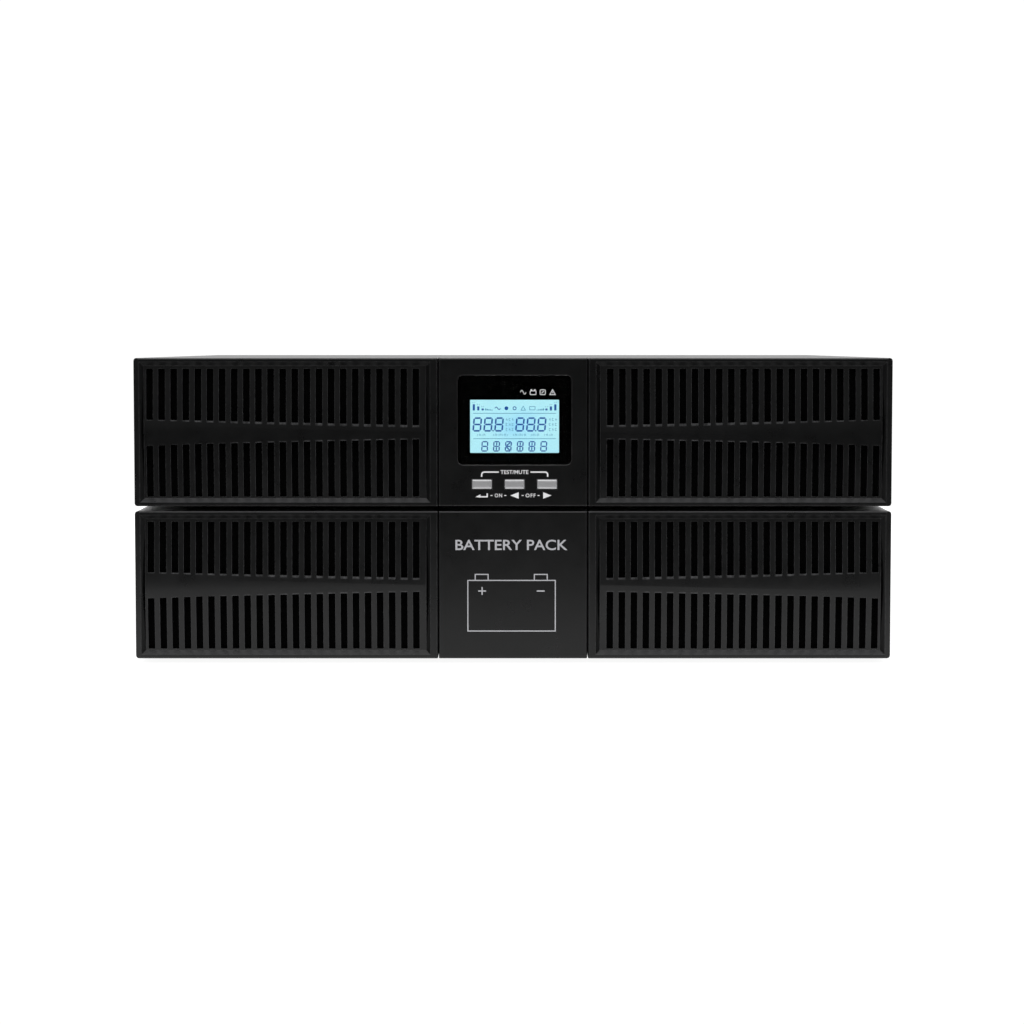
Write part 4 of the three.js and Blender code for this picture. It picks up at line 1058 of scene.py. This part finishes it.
SERIAL_SHELL = ((10.0, -4.2), (24.0, -4.2), (25.3, 4.2), (8.7, 4.2))
SERIAL_MOUTH = ((10.5, -3.6), (23.5, -3.6), (24.65, 3.6), (9.35, 3.6))
DATA_MOUTH = ((-16.2, -6), (-7.8, -6), (-7.8, 0.6), (-9.2, 2), (-14.8, 2), (-16.2, 0.6))
STOP_BODY = ((-28.5, -7.3), (-18.5, -7.3), (-18.5, 1.6), (-28.5, 1.6))
SERIAL_PIN = [(0, 0), (0.5, 0), (0.5, 3.4), (0.25, 3.8), (0, 3.9)]


def add_communication_card():
    """Lying circuit card with a nine-pin socket, a square data socket and a stop terminal."""
    x, z = 4, 131.8
    bm, shells, inserts, pins, posts, data, stop, data_cutter, stop_cutter = shapes(9)
    slab(bm, x, z - 8.2, 31, 0.8, BACK - 46, BACK - 5)
    piece("communication_card_board", bm, BOARD_GREEN, stands_for="communication_card")
    mouth = moved(SERIAL_MOUTH, x, z)
    frame_plate(shells, moved(SERIAL_SHELL, x, z), mouth, BACK - 2, BACK + 5)
    prism(inserts, mouth, BACK - 2, BACK + 1.4)
    block(shells, (x + 2, BACK - 6, z - 7.3), (x + 32, BACK - 2, z + 6))
    for count, dz in ((5, 1.4), (4, -1.4)):
        for i in range(count):
            dx = 17 + (i - (count - 1) / 2) * 2.77
            lathe(pins, SERIAL_PIN, (x + dx, BACK + 0.6, z + dz), 10)
    for dx in (4.5, 29.5):
        frame_plate(posts, circle(x + dx, z, 2.6, 6), circle(x + dx, z, 1.3, 6), BACK + 0.05, BACK + 4.2)
    prism(data, moved(rounded(-18, -6, -7.3, 3.4, 0.6, 2), x, z), BACK - 16, BACK + 1)
    prism(data_cutter, moved(DATA_MOUTH, x, z), BACK - 7.5, BACK + 3)
    piece("data_socket", carved(data, data_cutter), PLATED, edge=0.2)
    block(inserts, (x - 14.8, BACK - 8, z - 3.6), (x - 9.2, BACK, z - 0.4))
    prism(stop, moved(STOP_BODY, x, z), BACK - 12, BACK + 2)
    for dx in (-26, -21):
        slab(stop_cutter, x + dx, z - 3.6, 1.5, 1.6, BACK - 4, BACK + 3)
        prism(stop_cutter, circle(x + dx, z - 0.1, 1.1, 16), BACK + 1.2, BACK + 3)
    piece("stop_terminal", carved(stop, stop_cutter), GREEN, edge=0.2)
    piece("serial_shell", shells, PLATED, edge=0.25)
    piece("socket_inserts", inserts, SOCKET)
    piece("serial_pins", pins, BRASS, smooth=SMOOTH)
    piece("serial_posts", posts, SCREW, edge=0.2)


def add_rear_prints():
    """Generic marks: outlet numbers, closed and open on the breaker, poles of the battery connectors."""
    face = corners("outlet_strip")[1].y
    ups, pack, breaker = shapes(3)
    for number, width, (x, z) in zip("4321", (1.5, 1.5, 1.5, 0.8), outlet_places()):
        add_text(ups, number, x, z + 12.7, 2.4, width, face + INK, face - 0.01)
    mark = moved(wave(0.25), middle("mains_inlet").x, corners("mains_inlet")[1].z + 4, 6)
    ribbon(ups, mark, 0.7, *REAR_PRINT)
    for bm, nodes in ((ups, ("ups_dc_connector",)), (pack, PACK_CONNECTORS)):
        for node in nodes:
            x, z = middle(node).x, corners(node)[1].z + 3.4
            add_pole_signs(bm, x + POLE, x - POLE, z, 1.7, 0.32, REAR_PRINT)
    piece("ups_rear_prints", ups, WHITE_PRINT)
    piece("pack_rear_prints", pack, WHITE_PRINT, "battery_pack")
    centre, face = middle("pack_breaker_body"), corners("pack_breaker_body")[1].y
    slab(breaker, centre.x, centre.z + 15.5, 0.5, 2.6, face - 0.01, face + INK)
    ring = circle(centre.x, centre.z - 15.5, 2.4, 32)
    ribbon(breaker, ring, 0.9, face - 0.01, face + INK, closed=True)
    piece("breaker_marks", breaker, BLACK_PRINT, "battery_pack")


def add_rear():
    for hand in ("outer", "inner"):
        add_fan_guard(hand)
    add_rear_screws()
    add_socket_contacts()
    add_inlet_pins()
    add_dc_contacts("ups_dc_connector", "ups_module")
    for node in PACK_CONNECTORS:
        add_dc_contacts(node, "battery_pack")
    add_communication_card()
    add_rear_prints()


# ---------------------------------------------------------------- inside


def upright(bm, place):
    """Stands what was made about the Y axis on end, at a place."""
    matrix = Matrix.Translation(place) @ Matrix.Rotation(math.pi / 2, 4, "X")
    bmesh.ops.transform(bm, matrix=matrix, verts=bm.verts[:])


def stack(bm, sections):
    """Standing solid through level sections, each a height and an outline of (x, y) points."""
    skin(bm, [[(x, y, z) for x, y in outline] for z, outline in sections])


def case(bm, x0, x1, y0, y1, z0, z1, radius):
    """Standing moulded case with round upright corners."""
    rim = 0.6
    sides = rounded(x0, x1, y0, y1, radius, 3)
    lid = rounded(x0 + rim, x1 - rim, y0 + rim, y1 - rim, radius, 3)
    stack(bm, ((z0, sides), (z1 - rim, sides), (z1, lid)))


def add_ring_coil():
    """Ferrite ring with a single layer of thick enamelled wire wound through it."""
    low, high = corners("boost_inductor")
    centre = (low + high) / 2
    outer, half = (high.x - low.x) / 2, (high.z - low.z) / 2
    inner, wire, turns, steps = 12, 1.0, 34, 20
    mid, reach = (outer + inner) / 2, (outer - inner) / 2

    def place(turn, angle, shrink):
        """A point of the ring's round-cornered section, at a turn round the ring."""
        c, s = math.cos(angle), math.sin(angle)
        bulge = (abs(c) ** 4 + abs(s) ** 4) ** -0.25
        r, h = mid + (reach - shrink) * c * bulge, (half - shrink) * s * bulge
        return centre + Vector((r * math.cos(turn), r * math.sin(turn), h))

    core, coil = shapes(2)
    around, sides = ([2 * math.pi * i / count for i in range(count)] for count in (48, 20))
    skin(core, [[place(turn, angle, 2.2) for angle in sides] for turn in around], closed=True)
    piece("boost_inductor_core", core, CORE, smooth=SMOOTH)
    count = turns * steps
    points = [place(1.9 * math.pi * i / count, 2 * math.pi * i / steps, wire) for i in range(count + 1)]
    tube(coil, points, wire, 8)
    piece("boost_inductor_winding", coil, COPPER, smooth=SMOOTH, stands_for="boost_inductor")


def add_capacitor(node):
    """Can with a shrunk sleeve, a crimped neck and a scored aluminium top."""
    low, high = corners(node)
    radius, height, neck = (high.x - low.x) / 2, high.z - low.z, 4
    place = ((low.x + high.x) / 2, (low.y + high.y) / 2, low.z)
    can, top, cutter, stripe = shapes(4)
    foot = [(0, 0), (radius - 0.8, 0), (radius, 0.8)]
    crimp = [(radius, neck - 1), (radius - 0.9, neck), (radius, neck + 1)]
    shoulder = [(radius, height - 1), (radius - 0.7, height - 0.2), (radius - 1.6, height)]
    lathe(can, foot + crimp + shoulder + [(radius - 2.2, height - 0.5), (0, height - 0.5)], steps=40)
    upright(can, place)
    piece(node + "_sleeve", can, SLEEVE, smooth=SMOOTH, stands_for=node)
    rim = radius - 2.3
    lathe(top, [(0, 0), (rim, 0), (rim, 0.35), (rim - 0.2, 0.45), (0, 0.45)], steps=40)
    prism(cutter, plus(rim * 0.8, 0.25), 0.3, 1.0)
    scored = carved(top, cutter)
    upright(scored, (*place[:2], high.z - 0.48))
    piece(node + "_top", scored, ALUMINIUM)
    outline, inner = (circle(0, 0, radius + proud, 9, 0.2, 0.5) for proud in (0.04, -0.1))
    prism(stripe, outline + inner[::-1], 7, height - 3)
    upright(stripe, place)
    piece(node + "_stripe", stripe, GREY_PRINT)


def add_transformer():
    """Stacked core with a bobbin and a wire winding round its middle leg."""
    low, high = corners("transformer")
    centre = (low + high) / 2
    plates, thick, gap = 24, 28, 0.12
    core, bobbin, winding = shapes(3)
    window = square(low.x + 11, high.x - 11, low.z + 9, high.z - 9)
    for i in range(plates):
        y = centre.y - thick / 2 + thick * i / plates
        uneven = 0.12 if i % 3 else 0.0
        outline = square(low.x + uneven, high.x - uneven, low.z, high.z)
        frame_plate(core, outline, window, y, y + thick / plates - gap)
    piece("transformer_core", core, ZINC, stands_for="transformer")

    def layer(inset, radius, steps):
        return pad(centre.x, centre.y, 20 - inset, (high.y - low.y) / 2 - inset, radius, steps)

    for z in (low.z + 9.3, high.z - 10.8):
        stack(bobbin, [(level, layer(0, 2, 5)) for level in (z, z + 1.5)])
    piece("transformer_bobbin", bobbin, OFF_WHITE, edge=0.2)
    wire, turns = 0.9, 15
    outline = layer(1.5, 5, 4)
    bottom, top = low.z + 11.8, high.z - 11.8
    count = turns * len(outline)
    rise = (top - bottom) / count
    tube(winding, [(*outline[i % len(outline)], bottom + rise * i) for i in range(count + 1)], wire, 8)
    stack(winding, [(z, layer(2.1, 4.4, 4)) for z in (bottom - 0.8, top + 0.8)])
    piece("transformer_winding", winding, COPPER, smooth=SMOOTH)


TERMINAL_POST = [(0, 0), (1.6, 0), (1.6, 3), (1.2, 3.4), (0, 3.4)]


def add_power_board():
    """Main card with relays, mains filter, gate-driver riser and auxiliary supply, each in its own finish."""
    low, high = corners("power_board")
    top = low.z + 1.6
    card, black, grey, green, yellow, pins, small = shapes(7)
    case(card, low.x, high.x, low.y, high.y, low.z, top, 3)
    piece("power_board_card", card, BOARD_GREEN, stands_for="power_board")
    for i in range(4):
        x = -190 + 34 * i
        case(black, x, x + 26, 118, 134, top + 0.1, top + 16, 1)
        for dx in (4, 22):
            block(pins, (x + dx - 0.6, 134.1, top), (x + dx + 0.6, 136, top + 0.4))
    case(grey, -196, -150, 40, 84, top + 0.1, top + 34, 2)
    for y in (50, 62, 74):
        post = bmesh.new()
        lathe(post, TERMINAL_POST, steps=16)
        upright(post, (-173, y, top + 34.02))
        join(pins, post)
    riser = -58.4  # face of the upright card
    block(green, (-30, riser - 1.6, top), (34, riser, top + 52))
    rng = random.Random(3)
    for row in range(3):
        for column in range(5):
            x = -24 + 12 * column + rng.uniform(-1, 1)
            z = top + 10 + 15 * row + rng.uniform(-1, 1)
            half_x, half_z = rng.choice(((2.0, 1.2), (2.5, 1.95), (1.5, 0.8)))
            slab(small, x, z, half_x, half_z, riser, riser + rng.uniform(0.7, 1.2))
    case(yellow, -40, 24, -140, -96, top + 0.1, top + 22, 2)
    case(black, -30, 14, -132, -104, top + 22.05, top + 30, 2)
    for column in range(29):
        for row in range(9):
            x = -195 + 13.5 * column + rng.uniform(-2, 2)
            y = -142 + 9 * row + rng.uniform(-1, 1)
            near_supply = abs(x + 8) < 38 and y < -88
            near_coil = math.hypot(x + 110, y + 100) < 44
            if near_supply or near_coil:
                continue
            half_x, half_y = rng.choice(((1.6, 0.9), (2.5, 2.0), (1.0, 0.6)))
            block(small, (x - half_x, y - half_y, top), (x + half_x, y + half_y, top + 1))
    piece("power_board_relays", black, SOCKET, edge=0.3)
    piece("mains_filter", grey, GREY, edge=0.3)
    piece("driver_riser", green, BOARD_GREEN, edge=0.3)
    piece("auxiliary_supply", yellow, OFF_WHITE, edge=0.3)
    piece("power_board_terminals", pins, BRASS, edge=0.3)
    piece("power_board_chips", small, SOCKET)


SWITCH_STEM = [(0, 0), (1.7, 0), (1.7, -1.2), (1.5, -1.39), (0, -1.39)]
SOUNDER = [(0, 0), (6, 0), (6, 6.4), (5.4, 7.2), (1.3, 7.2), (1.3, 6), (0, 6)]


def add_switches(bodies, plates, stems, pins, front):
    """A push switch behind each button."""
    z = UPS_BOTTOM + 12.8
    for x in (-18.0, 0.9, 19.8):
        prism(bodies, pad(x, z, 3, 3, 0.5, 3), front, front - 3.8)
        prism(plates, pad(x, z, 2.8, 2.8, 0.4, 3), front - 3.81, front - 4.2)
        lathe(stems, SWITCH_STEM, (x, front - 4.21, z), 20)
        for dx in (-3.3, 3.3):
            for dz in (-2.2, 2.2):
                slab(pins, x + dx, z + dz, 0.3, 0.3, front - 1, front)


def add_display_board():
    """Card behind the display: push switches in front, controller, sounder and ribbon socket behind."""
    low, high = corners("display_board")
    front, back = FRONT + 14, FRONT + 15.6
    card, bodies, plates, stems, black, pins, socket, cutter = shapes(8)
    prism(card, rounded(low.x, high.x, low.z, high.z, 2), front, back)
    piece("display_board_card", card, BOARD_GREEN, "display_module", stands_for="display_board")
    add_switches(bodies, plates, stems, pins, front)
    ribbon_z = UPS_BOTTOM + 63.5
    slab(socket, 0, ribbon_z, 16, 3.5, back + 0.02, FRONT + 23)
    slab(cutter, 0, ribbon_z, 14.8, 2.5, back + 2, FRONT + 25)
    join(black, carved(socket, cutter))
    for column in range(10):
        for dz in (62.3, 64.8):
            slab(pins, -11.4 + 2.54 * column, UPS_BOTTOM + dz, 0.32, 0.32, back + 1.9, FRONT + 21.5)
    chip_z = UPS_BOTTOM + 36
    prism(black, pad(0, chip_z, 8, 8, 0.6, 2), back + 0.1, FRONT + 17)
    for i in range(12):
        for dz in (-8.6, 8.6):
            slab(pins, -6.6 + 1.2 * i, chip_z + dz, 0.2, 0.6, back, back + 0.4)
    lathe(black, SOUNDER, (27, back + 0.02, UPS_BOTTOM + 34), 32)
    piece("switch_bodies", bodies, SOCKET, "display_module")
    piece("switch_plates", plates, PLATED, "display_module")
    piece("switch_stems", stems, SOCKET, "display_module")
    piece("display_board_parts", black, SOCKET, "display_module")
    piece("display_board_pins", pins, BRASS, "display_module")


def add_battery_terminals():
    """Tinned tabs in red and black surrounds, and a short insulated link in each column of blocks."""
    tabs, red, black, links, shoes = shapes(5)
    pole, link_length, shoe = 60, 33, 3.5
    for i in range(1, 9):
        low, high = corners(f"battery_{i}")
        face, y, z = high.x - 6, (low.y + high.y) / 2, low.z + 12.4
        for at, ring in ((y - pole, black), (y + pole, red)):
            block(ring, (face - 0.2, at - 7, z - 5), (face + 0.7, at + 7, z + 5))
            block(tabs, (face, at - 3.3, z - 0.55), (face + 6.3, at + 3.3, z + 0.55))
        if i > 4:
            continue
        start = y + pole
        for at in (start, start + link_length):
            block(shoes, (face + 1.2, at - 4.2, z - 1.7), (face + 8.2, at + 4.2, z + 1.7))
        points = []
        for step in range(13):
            share = step / 12
            along = start + shoe + (link_length - 2 * shoe) * share
            points.append((face + 4.6, along, z + 5 * math.sin(math.pi * share)))
        tube(links, points, 1.5, 12)
    body = "battery_pack"
    piece("battery_tabs", tabs, PLATED, body, edge=0.2)
    piece("battery_plus_marks", red, RED, body, edge=0.3)
    piece("battery_minus_marks", black, SOCKET, body, edge=0.3)
    piece("battery_link_shoes", shoes, RED, body, edge=0.4)
    piece("battery_links", links, RED, body, smooth=SMOOTH)


def add_inside():
    add_ring_coil()
    add_capacitor("bus_capacitor_1")
    add_capacitor("bus_capacitor_2")
    add_transformer()
    add_power_board()
    add_display_board()
    add_battery_terminals()


# ---------------------------------------------------------------- studio

CAMERA_X = -0.0006  # metres, as are the other lengths of the studio
CAMERA_DISTANCE = 1.5035  # from the camera to the front panels
CAMERA_HEIGHT = 0.1855
CAMERA_PITCH = 3.692  # degrees down from level
LENS = 91.18  # focal length in millimetres
SENSOR_WIDTH = 36  # millimetres
FLOOR_RADIUS = 0.95
FLOOR_MIDDLE = (0, 0.41, 0)
SKY_STRENGTH = 1.0
SKY_STOPS = ((0.08, 0.10), (0.16, 0.30))  # shares of the height, and how bright the sky is there
BACKDROP_STRENGTH = 1.05
FLOOR_GLOW = 0.92
SOFTBOXES = (  # name, place, point it faces, width and power in watts
    ("top_softbox", (0, -0.35, 2.4), (0, -0.1, 0), 3.4, 60),
    ("front_left", (-2.6, -2.6, 1.9), (0, -0.2, 0.1), 1.4, 22),
    ("front_right", (2.6, -2.6, 1.9), (0, -0.2, 0.1), 1.4, 18),
)


def stand(name, data, place):
    """Adds a camera, light or mesh to the scene at a place."""
    obj = bpy.data.objects.new(name, data)
    obj.location = place
    bpy.context.scene.collection.objects.link(obj)
    return obj


def add_camera():
    data = bpy.data.cameras.new("camera")
    data.lens = LENS
    data.sensor_width = SENSOR_WIDTH
    data.clip_end = 100
    camera = stand("camera", data, (CAMERA_X, FRONT * MM - CAMERA_DISTANCE, CAMERA_HEIGHT))
    camera.rotation_euler = (math.radians(90 - CAMERA_PITCH), 0, 0)
    bpy.context.scene.camera = camera


def add_softbox(name, place, target, width, power):
    data = bpy.data.lights.new(name, "AREA")
    data.shape = "RECTANGLE"
    data.size = data.size_y = width
    data.energy = power
    light = stand(name, data, place)
    light.rotation_euler = (Vector(target) - Vector(place)).to_track_quat("-Z", "Y").to_euler()


def add_floor():
    bm = bmesh.new()
    place = Matrix.Translation(FLOOR_MIDDLE)
    bmesh.ops.create_circle(bm, cap_ends=True, segments=96, radius=FLOOR_RADIUS, matrix=place)
    floor = stand("floor", as_mesh("floor", bm), (0, 0, 0))
    n = look("pale_floor")
    floor.data.materials.append(n.surface({
        "Base Color": n.mottled((0.24, 0.24, 0.24), (0.26, 0.26, 0.26), 1.5),
        "Roughness": 0.9,
        "Specular IOR Level": 0.1,
        "Emission Color": (1, 1, 1),
        "Emission Strength": FLOOR_GLOW,
    }))


def add_world():
    """White to look at. As a light it is bright overhead and behind, and dark at the front horizon."""
    world = bpy.data.worlds.new("studio")
    bpy.context.scene.world = world
    n = Nodes(world)
    split = n.add("ShaderNodeSeparateXYZ", {0: n.coordinates["Generated"]}).outputs
    overhead = n.add("ShaderNodeValToRGB", {"Fac": split["Z"]})
    stops = overhead.color_ramp.elements
    stops[0].position, stops[1].position = 0.02, 0.8
    for position, value in SKY_STOPS:
        stops.new(position).color = (value, value, value, 1)
    behind = n.spread(split["Y"], 0, 1, -0.65, 0.75)
    above = n.spread(split["Z"], 0, 1, -0.05, 0.02)
    brighter = n.math("MAXIMUM", overhead.outputs["Color"], n.math("MULTIPLY", behind, above))
    lit = n.add("ShaderNodeBackground", {"Color": brighter, "Strength": SKY_STRENGTH})
    seen = n.add("ShaderNodeBackground", {"Color": (1, 1, 1), "Strength": BACKDROP_STRENGTH})
    watched = n.add("ShaderNodeLightPath").outputs["Is Camera Ray"]
    both = n.add("ShaderNodeMixShader", {0: watched, 1: lit.outputs[0], 2: seen.outputs[0]})
    n.feed(n.tree.nodes["World Output"].inputs[0], both.outputs[0])


def add_studio():
    bpy.context.scene.view_settings.view_transform = "Standard"
    add_camera()
    add_floor()
    add_world()
    for softbox in SOFTBOXES:
        add_softbox(*softbox)


add_studio()
dress_cad_nodes()
add_front()
add_rear()
add_inside()
